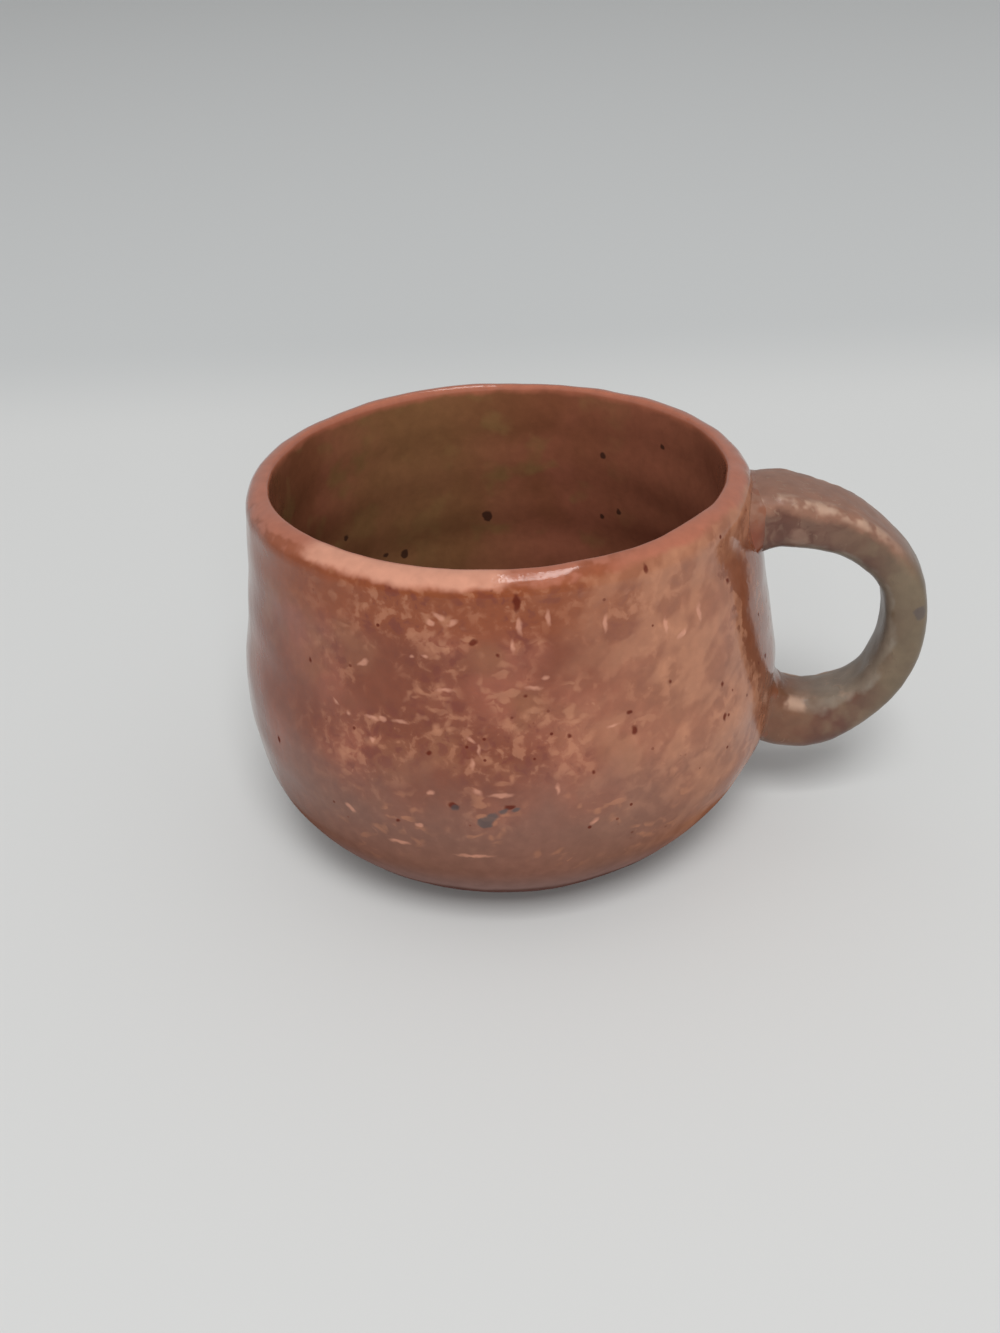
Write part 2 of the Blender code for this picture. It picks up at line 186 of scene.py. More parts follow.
RAGGED_DRIFT = 1.1 * MM        # and how far they move them, end to end
QUIET_WAY = 0.029              # the way round to the middle of the stretch with few flecks
PALE_LIP_WAY = 0.0585          # way round to the middle of the lip's palest stretch, thin glaze and painted highlight
RUN_SLANT = 0.26               # the run of thick glaze beside the handle leans this much as it climbs
RIGHT_LIP_DROP = 0.9 * MM      # the lip's pale coat ends this much higher near the handle
WALL_RADIUS = 0.047            # turns degrees round the cup into a length along its wall
CLOUD_RANGE = (0.3, 0.7)       # a cloud's values lie between these,
CLOUD_MIDDLE = (0.5, 0.5, 0.5)  # and those of a coloured one round this
KEEP_LEVEL = (1, 1, 0)         # what a vector is multiplied by to lay it in the X-Y plane

# Shine: the surface is glass, and the thin glaze near the foot and the iron in it are dry
GLAZE_IOR = 1.5
FULL_SHINE = 0.5

# Table: paper that is pale in a square round the mug, with soft corners, and greyer from there on
TABLE_HALF = 3.0
TABLE_DROP = 0.02 * MM         # it lies this much under the foot, so that the two faces don't coincide
PALE_SQUARE = (0.20, 0.30)
SQUARE_CORNER = 0.08
PAPER_ROUGHNESS = 0.85

# Steps by which values are joined: a kind of node and its operation
SUM = ("ShaderNodeMath", "ADD")
DIFFERENCE = ("ShaderNodeMath", "SUBTRACT")
PRODUCT = ("ShaderNodeMath", "MULTIPLY")
QUOTIENT = ("ShaderNodeMath", "DIVIDE")
POWER = ("ShaderNodeMath", "POWER")
DIRECTION = ("ShaderNodeMath", "ARCTAN2")
LARGEST = ("ShaderNodeMath", "MAXIMUM")
SMALLEST = ("ShaderNodeMath", "MINIMUM")
VECTOR_SUM = ("ShaderNodeVectorMath", "ADD")
VECTOR_DIFFERENCE = ("ShaderNodeVectorMath", "SUBTRACT")
VECTOR_PRODUCT = ("ShaderNodeVectorMath", "MULTIPLY")

# Node sockets that share a name, by place
MIX_FACTOR, MIX_NUMBER_A, MIX_NUMBER_B, MIX_COLOUR_A, MIX_COLOUR_B, MIXED_COLOUR = 0, 2, 3, 6, 7, 2

# Camera: the photograph's view, as fitted to the cup's outline. It is aimed at a point on the cup's axis, and
# then turned about itself until the mug stands in the frame as it does there
CAMERA_AIM_HEIGHT = 0.0702
CAMERA_AZIMUTH = math.radians(6)
CAMERA_ELEVATION = math.radians(23.01)
CAMERA_DISTANCE = 0.2691
CAMERA_YAW, CAMERA_PITCH, CAMERA_ROLL = -0.0039, -0.1306, -0.0425
CAMERA_LENS = 40.51
CAMERA_SENSOR = 36.0

# Lamps, aimed as seen from the camera: (aim, distance, width, depth, share of the light on the table, shines)
# The soft box and the low fill light the mug, and the window overhead is only seen in the glaze's shine
LAMPS = {"Soft box": ((0.05, -0.68, 1.00), 3.0, 1.20, 1.20, 0.50, False),
         "Low fill": ((0.10, -1.00, 0.36), 3.0, 1.60, 1.00, 0.09, False),
         "Window": ((0.155, 0.0, 1.00), 1.2, 0.11, 0.90, 0.17, True)}


def linear(code):
    """An sRGB hex colour as the linear RGBA that Blender's sockets take."""
    parts = [int(code[i:i + 2], 16) / 255 for i in (1, 3, 5)]
    return [part / 12.92 if part <= 0.04045 else ((part + 0.055) / 1.055) ** 2.4 for part in parts] + [1.0]


def add_node(tree, kind, inputs=None, **settings):
    """Adds one node, with its settings, and fills its inputs with values or with links.

    A link comes from a socket, or from the first output of a node."""
    node = tree.nodes.new(kind)
    for name, value in settings.items():
        setattr(node, name, value)
    for socket, value in (inputs or {}).items():
        if isinstance(value, bpy.types.Node):
            value = value.outputs[0]
        if isinstance(value, bpy.types.NodeSocket):
            tree.links.new(value, node.inputs[socket])
        else:
            node.inputs[socket].default_value = value
    return node


def folded(tree, step, *values):
    """Joins values one after another by like nodes. A step is a kind of node and its operation."""
    kind, operation = step
    joined = values[0]
    for value in values[1:]:
        joined = add_node(tree, kind, {0: joined, 1: value}, operation=operation)
    return joined


def within(tree, *limits):
    """How far a place is within all the soft limits, from 0 to 1. A limit is (value, start, full)."""
    shares = [add_node(tree, "ShaderNodeMapRange", {"Value": value, "From Min": start, "From Max": full},
                       interpolation_type="SMOOTHSTEP") for value, start, full in limits]
    return folded(tree, PRODUCT, *shares)


def between(tree, *limits):
    """As within, for lengths: a limit is (value in metres, start in mm, full in mm)."""
    return within(tree, *[(value, start * MM, full * MM) for value, start, full in limits])


# Curves shared by the pieces

def heading(angle):
    return Vector((math.cos(angle), math.sin(angle)))


def spaced(curve, spacing):
    """The same curve with points about this far apart, its two ends kept."""
    run = [0.0]
    for a, b in zip(curve, curve[1:]):
        run.append(run[-1] + (b - a).length)
    count = max(2, round(run[-1] / spacing))
    points = []
    k = 0
    for i in range(count + 1):
        at = run[-1] * i / count
        while k < len(run) - 2 and run[k + 1] < at:
            k += 1
        share = (at - run[k]) / (run[k + 1] - run[k])
        points.append(curve[k].lerp(curve[k + 1], share))
    return points


def along(points, i):
    """The direction of a line of points at one of them, from its neighbours."""
    return (points[min(i + 1, len(points) - 1)] - points[max(i - 1, 0)]).normalized()


def through(stations):
    """A smooth curve through stations, each tangent taken from the neighbours on either side."""
    last = len(stations) - 1
    leans = [along(stations, i) for i in range(1, last)]
    first_chord, last_chord = along(stations, 0), along(stations, last)
    first_lean = 2 * first_chord.dot(leans[0]) * first_chord - leans[0]
    last_lean = 2 * last_chord.dot(leans[-1]) * last_chord - leans[-1]
    leans = [first_lean] + leans + [last_lean]
    curve = [stations[0]]
    for i in range(last):
        here, there = stations[i], stations[i + 1]
        third = (there - here).length / 3
        curve += interpolate_bezier(here, here + leans[i] * third, there - leans[i + 1] * third,
                                    there, ARC_POINTS)[1:]
    return curve


def outer_curve(cup):
    """The outside of the cup as (radius, height), from the foot's bevel up to the start of the lip."""
    foot = Vector((FOOT_RADIUS, FOOT_BEVEL))
    belly = Vector((cup.belly_radius, BELLY_HEIGHT))
    lip = Vector((cup.rim_radius, cup.height - cup.lip_depth))
    waist = heading(math.pi / 2 + RIM_LEAN) * WAIST_SWEEP
    bowl = interpolate_bezier(foot, foot + heading(FOOT_RISE) * FOOT_SWEEP,
                              belly - Vector((0, BELLY_SWEEP_DOWN)), belly, ARC_POINTS)
    collar = interpolate_bezier(belly, belly + Vector((0, BELLY_SWEEP_UP)), lip - waist, lip, ARC_POINTS)
    return spaced(bowl + collar[1:], WALL_FACET)


def radius_at(curve, height):
    """The radius of a climbing curve at a height, or that of its nearer end beyond it."""
    for low, high in zip(curve, curve[1:]):
        if low.y <= height < high.y:
            return low.x + (high.x - low.x) * (height - low.y) / (high.y - low.y)
    return curve[-1].x if height >= curve[-1].y else curve[0].x


def inner_curve(cup, outside):
    """The inside of the cup, from the middle of the floor up to the start of the lip."""
    face = []
    for i, point in enumerate(outside):
        climb = along(outside, i)
        wall = WALL_AT_FOOT + (cup.lip_thickness - WALL_AT_FOOT) * point.y / cup.height
        face.append(point - Vector((climb.y, -climb.x)) * wall)
    bend_height = FLOOR_THICKNESS + FLOOR_CORNER
    bend_top = Vector((radius_at(face, bend_height), bend_height))
    corner = Vector((radius_at(face, FLOOR_THICKNESS), FLOOR_THICKNESS))
    floor_edge = corner - Vector((FLOOR_CORNER, 0))
    middle = Vector((0, FLOOR_THICKNESS - FLOOR_DISH))
    lip = Vector((cup.rim_radius - cup.lip_thickness, cup.height - cup.lip_round * LIP_ROUND_STRETCH))
    straight = [p for p in face if bend_top.y + WALL_FACET / 2 < p.y < lip.y - WALL_FACET / 2]
    floor = interpolate_bezier(middle, middle.lerp(Vector((floor_edge.x, middle.y)), FLOOR_LEVEL_SHARE),
                               floor_edge - Vector((FLOOR_CORNER, 0)), floor_edge, ARC_POINTS)
    slope = (straight[0] - bend_top).normalized()
    bend = interpolate_bezier(floor_edge, floor_edge.lerp(corner, CORNER_FULLNESS),
                              bend_top - slope * FLOOR_CORNER * CORNER_FULLNESS, bend_top, ARC_POINTS)
    return spaced(floor, FLOOR_FACET)[:-1] + spaced(bend, WALL_FACET) + straight + [lip]


def lip_curve(cup, inside, outside):
    """The lip from its inner edge, over its crest near the inside, and down its sloping outer shoulder."""
    crest = Vector((inside.x + cup.lip_round, cup.height))
    points = []
    for i in range(1, LIP_FACETS + 1):
        turn = heading(math.pi / 2 * i / LIP_FACETS)
        points.append(Vector((crest.x - cup.lip_round * turn.x, inside.y + (crest.y - inside.y) * turn.y)))
    for i in range(1, SHOULDER_FACETS):
        turn = heading(math.pi / 2 * i / SHOULDER_FACETS)
        points.append(Vector((crest.x + (outside.x - crest.x) * turn.y,
                              outside.y + (crest.y - outside.y) * turn.x)))
    return points


def strap_line(cup):
    """The strap's middle line in (X, Z) as (distance from the upper root, place, direction) stations."""
    wall = outer_curve(cup)
    upper = cup.height - UPPER_ROOT_DROP
    lower = cup.height - LOWER_ROOT_DROP
    stops = [Vector((radius_at(wall, upper), upper))]
    stops += [Vector((cup.rim_radius + reach, cup.height - drop)) for reach, drop in STRAP_ROUTE]
    stops += [Vector((radius_at(wall, lower), lower))]
    line = spaced(through(stops), STRAP_FACET)
    into_upper = (line[0] - line[1]).normalized() * ROOT_SINK
    into_lower = (line[-1] - line[-2]).normalized() * ROOT_SINK
    line = [line[0] + into_upper] + line + [line[-1] + into_lower]
    stations = []
    distance = -ROOT_SINK
    for i, place in enumerate(line):
        distance += (place - line[i - 1]).length if i else 0.0
        stations.append((distance, place, along(line, i)))
    return stations


def eased(share):
    """A share from 0 to 1 that starts and ends gently, held at 0 before it and at 1 after it."""
    held = min(max(share, 0.0), 1.0)
    return held * held * (3 - 2 * held)


def tapers(share):
    """How far the strap has thinned from its top, and how far it has filled out again towards its tail."""
    tail = (share - STRAP_TAIL_START) / (STRAP_TAIL_END - STRAP_TAIL_START)
    return eased(share / STRAP_TAPER_END), eased(tail)


def root_flare(distance, length):
    """How far the strap spreads where it is pressed to the wall."""
    to_root = max(min(distance, length - distance), 0.0)
    return ROOT_FLARE * max(0.0, 1 - to_root / ROOT_FLARE_LENGTH) ** 2


# Geometry trees

def new_tree(name, *sizes):
    """A geometry tree with its named inputs; gives the tree and the sockets that the inputs arrive on."""
    tree = bpy.data.node_groups.new(name, "GeometryNodeTree")
    tree.interface.new_socket("Piece", in_out="OUTPUT", socket_type="NodeSocketGeometry")
    kinds = {"Line": "Geometry", "Steps round": "Int", **dict.fromkeys(sizes, "Float"), "Glaze": "Material"}
    for label, kind in kinds.items():
        tree.interface.new_socket(label, in_out="INPUT", socket_type="NodeSocket" + kind)
    return tree, add_node(tree, "NodeGroupInput").outputs


def run_tree(tree, blank, settings, glaze):
    """Runs a geometry tree on a blank object and leaves the result on it as a plain mesh.

    Each size that the tree asks for is the setting of the same name."""
    modifier = blank.modifiers.new(tree.name, "NODES")
    modifier.node_group = tree
    for item in tree.interface.items_tree:
        if item.name == "Glaze":
            modifier[item.identifier] = glaze
        elif item.socket_type != "NodeSocketGeometry":
            modifier[item.identifier] = getattr(settings, item.name.lower().replace(" ", "_"))
    bpy.context.scene.collection.objects.link(blank)
    depsgraph = bpy.context.evaluated_depsgraph_get()
    mesh = bpy.data.meshes.new_from_object(blank.evaluated_get(depsgraph), preserve_all_data_layers=True,
                                           depsgraph=depsgraph)
    if not mesh.polygons:
        raise RuntimeError("the tree " + tree.name + " made no faces")
    blank.modifiers.clear()
    mesh.name = blank.name
    blank.data = mesh
    return blank


def blank_line(name, points, measures):
    """A polyline object for a tree to follow, with one number per point for each named measure."""
    mesh = bpy.data.meshes.new(name)
    mesh.from_pydata([(p.x, 0.0, p.y) for p in points], [(i, i + 1) for i in range(len(points) - 1)], [])
    for label, numbers in measures.items():
        mesh.attributes.new(label, "FLOAT", "POINT").data.foreach_set("value", numbers)
    return bpy.data.objects.new(name, mesh)


def swept_grid(tree, given):
    """A grid with one row for each point of the line and one column for each step of a full turn.

    Gives the grid, the row that a vertex belongs to, and its share of the full turn in radians."""
    count = add_node(tree, "GeometryNodeAttributeDomainSize", {"Geometry": given["Line"]}, component="MESH")
    rows = count.outputs["Point Count"]
    columns = add_node(tree, "FunctionNodeIntegerMath", {0: given["Steps round"], 1: 1}, operation="ADD")
    grid = add_node(tree, "GeometryNodeMeshGrid", {"Size X": 1.0, "Size Y": 1.0, "Vertices X": columns,
                                                   "Vertices Y": rows})
    index = add_node(tree, "GeometryNodeInputIndex")
    column = add_node(tree, "FunctionNodeIntegerMath", {0: index, 1: rows}, operation="DIVIDE_FLOOR")
    row = add_node(tree, "FunctionNodeIntegerMath", {0: index, 1: rows}, operation="MODULO")
    turn = folded(tree, PRODUCT, folded(tree, QUOTIENT, column, given["Steps round"]), FULL_TURN)
    return grid, row, turn


def along_line(tree, line, row, *measures):
    """Reads the line's position and its named measures at each vertex's own row."""
    place = add_node(tree, "GeometryNodeInputPosition")
    read = [add_node(tree, "GeometryNodeSampleIndex", {"Geometry": line, "Value": place, "Index": row},
                     data_type="FLOAT_VECTOR", clamp=True)]
    for label in measures:
        value = add_node(tree, "GeometryNodeInputNamedAttribute", {"Name": label}, data_type="FLOAT")
        inputs = {"Geometry": line, "Value": value, "Index": row}
        read.append(add_node(tree, "GeometryNodeSampleIndex", inputs, data_type="FLOAT", clamp=True))
    return read


def keep_measures(tree, skin, measures):
    """Stores named numbers on each vertex, for the glaze to read."""
    for label, value in measures.items():
        inputs = {"Geometry": skin, "Name": label, "Value": value}
        skin = add_node(tree, "GeometryNodeStoreNamedAttribute", inputs, data_type="FLOAT", domain="POINT")
    return skin


def hand_waves(tree, given, place, size, height):
    """Soft waves that hands leave in clay: each about size across, and as high as the named input says."""
    wave = add_node(tree, "ShaderNodeTexNoise", {"Vector": place, "W": given["Seed"], "Scale": 1 / size,
                                                 "Detail": 1.0}, noise_dimensions="4D")
    return folded(tree, PRODUCT, folded(tree, DIFFERENCE, wave, 0.5), 2.0, given[height])


def finish_tree(tree, skin, glaze, relief, *shifts):
    """Raises a skin by its relief, adds any other shifts, and ends the tree in one smooth, glazed mesh."""
    normal = add_node(tree, "GeometryNodeInputNormal")
    raised = add_node(tree, "ShaderNodeVectorMath", {0: normal, "Scale": relief}, operation="SCALE")
    for kind, inputs in (("GeometryNodeSetPosition", {"Offset": folded(tree, VECTOR_SUM, raised, *shifts)}),
                         ("GeometryNodeRealizeInstances", {}), ("GeometryNodeSetShadeSmooth", {}),
                         ("GeometryNodeSetMaterial", {"Material": glaze})):
        skin = add_node(tree, kind, {"Geometry": skin, **inputs})
    add_node(tree, "NodeGroupOutput", {"Piece": skin})


def throwing_tree():
    """Turns the cup's profile about Z and leaves the marks of the wheel and of the potter's hands."""
    tree, given = new_tree("Throw the cup", "Height", "Outer rings", "Inner rings", "Ring pitch",
                           "Out of round", "Lip unevenness", "Lip rise", "Handle side fullness",
                           "Wall unevenness", "Finger dents", "Seed")
    grid, row, turn = swept_grid(tree, given)
    profile, inside, bare = along_line(tree, given["Line"], row, "inside", "bare")
    placed = add_node(tree, "ShaderNodeVectorRotate", {"Vector": profile, "Angle": turn},
                      rotation_type="Z_AXIS")
    cup = add_node(tree, "GeometryNodeSetPosition", {"Geometry": grid, "Position": placed})
    cup = keep_measures(tree, cup, {"inside": inside, "bare": bare})
    cup = add_node(tree, "GeometryNodeMergeByDistance", {"Geometry": cup, "Distance": WELD})
    cup = add_node(tree, "GeometryNodeFlipFaces", {"Mesh": cup})

    place = add_node(tree, "GeometryNodeInputPosition")
    x, y, height = add_node(tree, "ShaderNodeSeparateXYZ", {0: place}).outputs
    angle = folded(tree, DIRECTION, y, x)
    level = add_node(tree, "ShaderNodeCombineXYZ", {"X": x, "Y": y})
    direction = add_node(tree, "ShaderNodeVectorMath", {0: level}, operation="NORMALIZE")
    sides = add_node(tree, "ShaderNodeSeparateXYZ", {0: direction}).outputs
    near_lip = within(tree, (folded(tree, DIFFERENCE, given["Height"], height), *NEAR_LIP))
    off_foot = within(tree, (height, *OFF_FOOT))

    climb = folded(tree, QUOTIENT, height, given["Ring pitch"])
    phase = folded(tree, SUM, folded(tree, PRODUCT, climb, FULL_TURN), angle)
    swing = add_node(tree, "ShaderNodeMath", {0: phase}, operation="SINE")
    is_inside = add_node(tree, "GeometryNodeInputNamedAttribute", {"Name": "inside"}, data_type="FLOAT")
    ring = add_node(tree, "ShaderNodeMix", {MIX_FACTOR: is_inside, MIX_NUMBER_A: given["Outer rings"],
                                            MIX_NUMBER_B: given["Inner rings"]}, data_type="FLOAT")
    rings = folded(tree, PRODUCT, swing, ring, off_foot, folded(tree, DIFFERENCE, 1.0, near_lip))
    lumps = folded(tree, PRODUCT, hand_waves(tree, given, place, WALL_LUMP, "Wall unevenness"), off_foot)
    dents = folded(tree, PRODUCT, hand_waves(tree, given, place, WALL_DENT, "Finger dents"), off_foot)
    lip_waves = folded(tree, PRODUCT, hand_waves(tree, given, place, LIP_WAVE, "Lip unevenness"), near_lip)
    handle_side = within(tree, (sides["X"], *FULL_SIDE), (height, *FULL_FROM), (height, *FULL_UP_TO))
    fullness = folded(tree, PRODUCT, handle_side, given["Handle side fullness"])
    swell = folded(tree, SUM, rings, lumps, dents, lip_waves, fullness)

    twice_round = folded(tree, SUM, folded(tree, PRODUCT, angle, 2.0), given["Seed"])
    oval = add_node(tree, "ShaderNodeMath", {0: twice_round}, operation="COSINE")
    stretch = folded(tree, PRODUCT, oval, given["Out of round"], off_foot)
    sideways = add_node(tree, "ShaderNodeVectorMath", {0: direction, "Scale": stretch}, operation="SCALE")
    front_rise = folded(tree, PRODUCT, within(tree, (sides["Y"], *RAISED_FRONT)), given["Lip rise"])
    wander = hand_waves(tree, given, direction, LIP_WANDER, "Lip unevenness")
    lift = folded(tree, PRODUCT, folded(tree, SUM, wander, front_rise), near_lip)
    upward = add_node(tree, "ShaderNodeCombineXYZ", {"Z": lift})
    cup = keep_measures(tree, cup, {"lift": lift})
    finish_tree(tree, cup, given["Glaze"], swell, sideways, upward)
    return tree


def strap_tree():
    """Draws the strap's squarish section along its route and leaves the marks of pulling and pressing."""
    tree, given = new_tree("Pull the strap", "Width at top", "Width in middle", "Width at tail",
                           "Thickness at top", "Thickness in middle", "Thickness at tail", "Squareness",
                           "Thumb groove", "Raised edge", "Unevenness", "Finger dents", "Seed")
    grid, row, turn = swept_grid(tree, given)
    place, share, thinned, filled, flare, fullness, lean_x, lean_z = along_line(
        tree, given["Line"], row, "share", "thinned", "filled", "flare", "fullness", "lean_x", "lean_z")
    halves = []
    for measure in ("Width", "Thickness"):
        whole = given[measure + " at top"]
        for taper, end in ((thinned, " in middle"), (filled, " at tail")):
            whole = add_node(tree, "ShaderNodeMix", {MIX_FACTOR: taper, MIX_NUMBER_A: whole,
                                                     MIX_NUMBER_B: given[measure + end]}, data_type="FLOAT")
        half = folded(tree, SUM, folded(tree, PRODUCT, whole, 0.5), flare)
        halves.append(folded(tree, PRODUCT, half, fullness))
    half_width, half_thickness = halves
    power = folded(tree, QUOTIENT, 2.0, given["Squareness"])
    reach = []
    for wave in ("COSINE", "SINE"):
        swing = add_node(tree, "ShaderNodeMath", {0: turn}, operation=wave)
        size = add_node(tree, "ShaderNodeMath", {0: swing}, operation="ABSOLUTE")
        side = add_node(tree, "ShaderNodeMath", {0: swing}, operation="SIGN")
        reach.append(folded(tree, PRODUCT, folded(tree, POWER, size, power), side))
    across, out = reach
    arch = add_node(tree, "ShaderNodeMath", {0: folded(tree, PRODUCT, share, math.pi)}, operation="SINE")
    outer_face = folded(tree, LARGEST, out, 0.0)
    off_sides = folded(tree, DIFFERENCE, 1.0, folded(tree, PRODUCT, across, across))
    groove = folded(tree, PRODUCT, arch, outer_face, off_sides, given["Thumb groove"])
    depth = folded(tree, DIFFERENCE, folded(tree, PRODUCT, half_thickness, out), groove)
    spot = add_node(tree, "ShaderNodeCombineXYZ", {"X": folded(tree, PRODUCT, lean_x, depth),
                                                   "Y": folded(tree, PRODUCT, half_width, across),
                                                   "Z": folded(tree, PRODUCT, lean_z, depth)})
    spot = folded(tree, VECTOR_SUM, place, spot)
    strap = add_node(tree, "GeometryNodeSetPosition", {"Geometry": grid, "Position": spot})
    cross_edge = add_node(tree, "ShaderNodeMath", {0: across}, operation="ABSOLUTE")
    corner = folded(tree, PRODUCT, cross_edge, out)
    edges = [within(tree, (corner, *at_corner), (share, *end), (share, *start))
             for at_corner, end, start in (OUTER_EDGE, INNER_EDGE)]
    strap = keep_measures(tree, strap, {"edge": folded(tree, SUM, *edges), "outwardness": out})
    strap = add_node(tree, "GeometryNodeMergeByDistance", {"Geometry": strap, "Distance": WELD})

    here = add_node(tree, "GeometryNodeInputPosition")
    on_edge = add_node(tree, "GeometryNodeInputNamedAttribute", {"Name": "edge"}, data_type="FLOAT")
    ragged = folded(tree, SUM, hand_waves(tree, given, here, EDGE_NOTCH, "Raised edge"),
                    folded(tree, PRODUCT, given["Raised edge"], 0.5))
    relief = folded(tree, SUM, folded(tree, PRODUCT, ragged, on_edge),
                    hand_waves(tree, given, here, STRAP_LUMP, "Unevenness"),
                    hand_waves(tree, given, here, STRAP_DENT, "Finger dents"))
    finish_tree(tree, strap, given["Glaze"], relief)
    return tree


# Glazes

def new_glaze(name):
    material = bpy.data.materials.new(name)
    material.use_nodes = True
    tree = material.node_tree
    tree.nodes.clear()
    return material, tree


def close_glaze(tree, colour, relief, relief_depth, roughness, shine):
    """Ends a glaze: its colour, its small relief, its roughness and its shine go to the surface."""
    bump = add_node(tree, "ShaderNodeBump", {"Height": relief, "Distance": relief_depth, "Strength": 1.0})
    surface = add_node(tree, "ShaderNodeBsdfPrincipled", {
        "Base Color": colour, "Roughness": roughness, "IOR": GLAZE_IOR, "Specular IOR Level": shine,
        "Normal": bump})
    add_node(tree, "ShaderNodeOutputMaterial", {"Surface": surface})


def clouded(tree, place, size, start, full, ruffle=0.0, detail=2.0):
    """Patches of glaze about size mm across: none where the cloud is at start, whole where it is at full."""
    cloud = add_node(tree, "ShaderNodeTexNoise", {"Vector": place, "Scale": 1 / (size * MM), "Detail": detail,
                                                  "Distortion": ruffle})
    return within(tree, (cloud, start, full))


def streaked(tree, wall, tilt, stretch, size, start, full, detail=2.0):
    """Patches as in clouded, each drawn out to stretch times its size along a tilt in degrees."""
    drawn = add_node(tree, "ShaderNodeMapping", {"Vector": wall, "Rotation": (0, 0, math.radians(tilt)),
                                                 "Scale": (stretch, 1, 1)}, vector_type="TEXTURE")
    return clouded(tree, drawn, size, start, full, detail=detail)


def wavering(tree, value, place, size, swing):
    """A value with a wavering added, about size mm long and up to half the swing either way."""
    wave = add_node(tree, "ShaderNodeTexNoise", {"Vector": place, "Scale": 1 / (size * MM), "Detail": 3.0})
    return folded(tree, SUM, value, folded(tree, PRODUCT, folded(tree, DIFFERENCE, wave, 0.5), swing))


def apart(tree, value, middle):
    """How far a value lies from a middle one, either way."""
    off = folded(tree, DIFFERENCE, value, middle)
    return add_node(tree, "ShaderNodeMath", {0: off}, operation="ABSOLUTE")


def marked(tree, wall, marks):
    """The listed marks on the wall, 1 in a mark and 0 off it. wall is (way round, height, 0) in metres.

    Marks that are drawn out alike share one stretched copy of the wall, where each of them is a disc."""
    nearest = None
    for (tilt, stretch), places in marks.items():
        turn = math.radians(tilt)
        drawn = add_node(tree, "ShaderNodeMapping", {"Vector": wall, "Rotation": (0, 0, turn),
                                                     "Scale": (stretch, 1, 1)}, vector_type="TEXTURE")
        for degrees, height, half_width in places:
            spot = Matrix.Rotation(-turn, 2) @ Vector((math.radians(degrees) * WALL_RADIUS, height * MM))
            off = add_node(tree, "ShaderNodeVectorMath", {0: drawn, 1: (spot.x / stretch, spot.y, 0)},
                           operation="DISTANCE").outputs["Value"]
            off = folded(tree, DIFFERENCE, off, half_width * MM)
            nearest = off if nearest is None else folded(tree, SMALLEST, nearest, off)
    return within(tree, (nearest, MARK_EDGE, -MARK_EDGE))


def dabbed(tree, place, dabs):
    """The listed dabs, 1 in a dab and 0 off it. A dab is (x, y, z, half width) in mm."""
    shares = []
    for x, y, z, half_width in dabs:
        off = add_node(tree, "ShaderNodeVectorMath", {0: place, 1: (x * MM, y * MM, z * MM)},
                       operation="DISTANCE").outputs["Value"]
        ragged = wavering(tree, off, place, 1.8, 2.6 * MM)
        shares.append(between(tree, (ragged, half_width, half_width / 2)))
    return folded(tree, LARGEST, *shares)


def scattered_specks(tree, place, spacing, size, share):
    """Small specks of iron, scattered at random: a share of the cells of spacing mm has one of size mm."""
    cells = add_node(tree, "ShaderNodeTexVoronoi", {"Vector": place, "Scale": 1 / (spacing * MM)},
                     feature="F1")
    chosen = add_node(tree, "ShaderNodeSeparateColor", {0: cells.outputs["Color"]})
    kept = add_node(tree, "ShaderNodeMath", {0: chosen, 1: share}, operation="LESS_THAN")
    off = folded(tree, PRODUCT, cells.outputs["Distance"], spacing * MM)
    return folded(tree, PRODUCT, between(tree, (off, size, size * SPECK_CORE)), kept)


def glaze_place(tree):
    """Where a point of the glaze is: its place, and the X, Y and Z of it."""
    place = add_node(tree, "ShaderNodeTexCoord").outputs["Object"]
    return place, *add_node(tree, "ShaderNodeSeparateXYZ", {0: place}).outputs


def unrolled(tree, place, x, y, height):
    """The cup's wall laid flat, as (way round, height, 0), with a small drift that makes outlines ragged.

    The way round starts away from the handle, so its cut lies behind the handle."""
    back_y, back_x = [folded(tree, PRODUCT, part, -1.0) for part in (y, x)]
    way_round = folded(tree, PRODUCT, folded(tree, DIRECTION, back_y, back_x), WALL_RADIUS)
    ruffle = add_node(tree, "ShaderNodeTexNoise", {"Vector": place, "Scale": 1 / RAGGED_SIZE, "Detail": 1.0})
    drift = folded(tree, VECTOR_DIFFERENCE, ruffle.outputs["Color"], CLOUD_MIDDLE)
    drift = add_node(tree, "ShaderNodeVectorMath", {0: drift, "Scale": RAGGED_DRIFT}, operation="SCALE")
    wall = add_node(tree, "ShaderNodeCombineXYZ", {"X": way_round, "Y": height})
    return folded(tree, VECTOR_PRODUCT, folded(tree, VECTOR_SUM, wall, drift), KEEP_LEVEL)


def off_axis(tree, place):
    """How far a point lies from the cup's axis."""
    level = folded(tree, VECTOR_PRODUCT, place, KEEP_LEVEL)
    return add_node(tree, "ShaderNodeVectorMath", {0: level}, operation="LENGTH").outputs["Value"]


def layered(tree, base, layers):
    """Lays one glaze colour after another over a base. A layer is (where, share that covers, colour)."""
    colour = base
    for where, share, code in layers:
        colour = add_node(tree, "ShaderNodeMix", {MIX_FACTOR: folded(tree, PRODUCT, where, share),
                                                  MIX_COLOUR_A: colour, MIX_COLOUR_B: linear(code)},
                          data_type="RGBA").outputs[MIXED_COLOUR]
    return colour


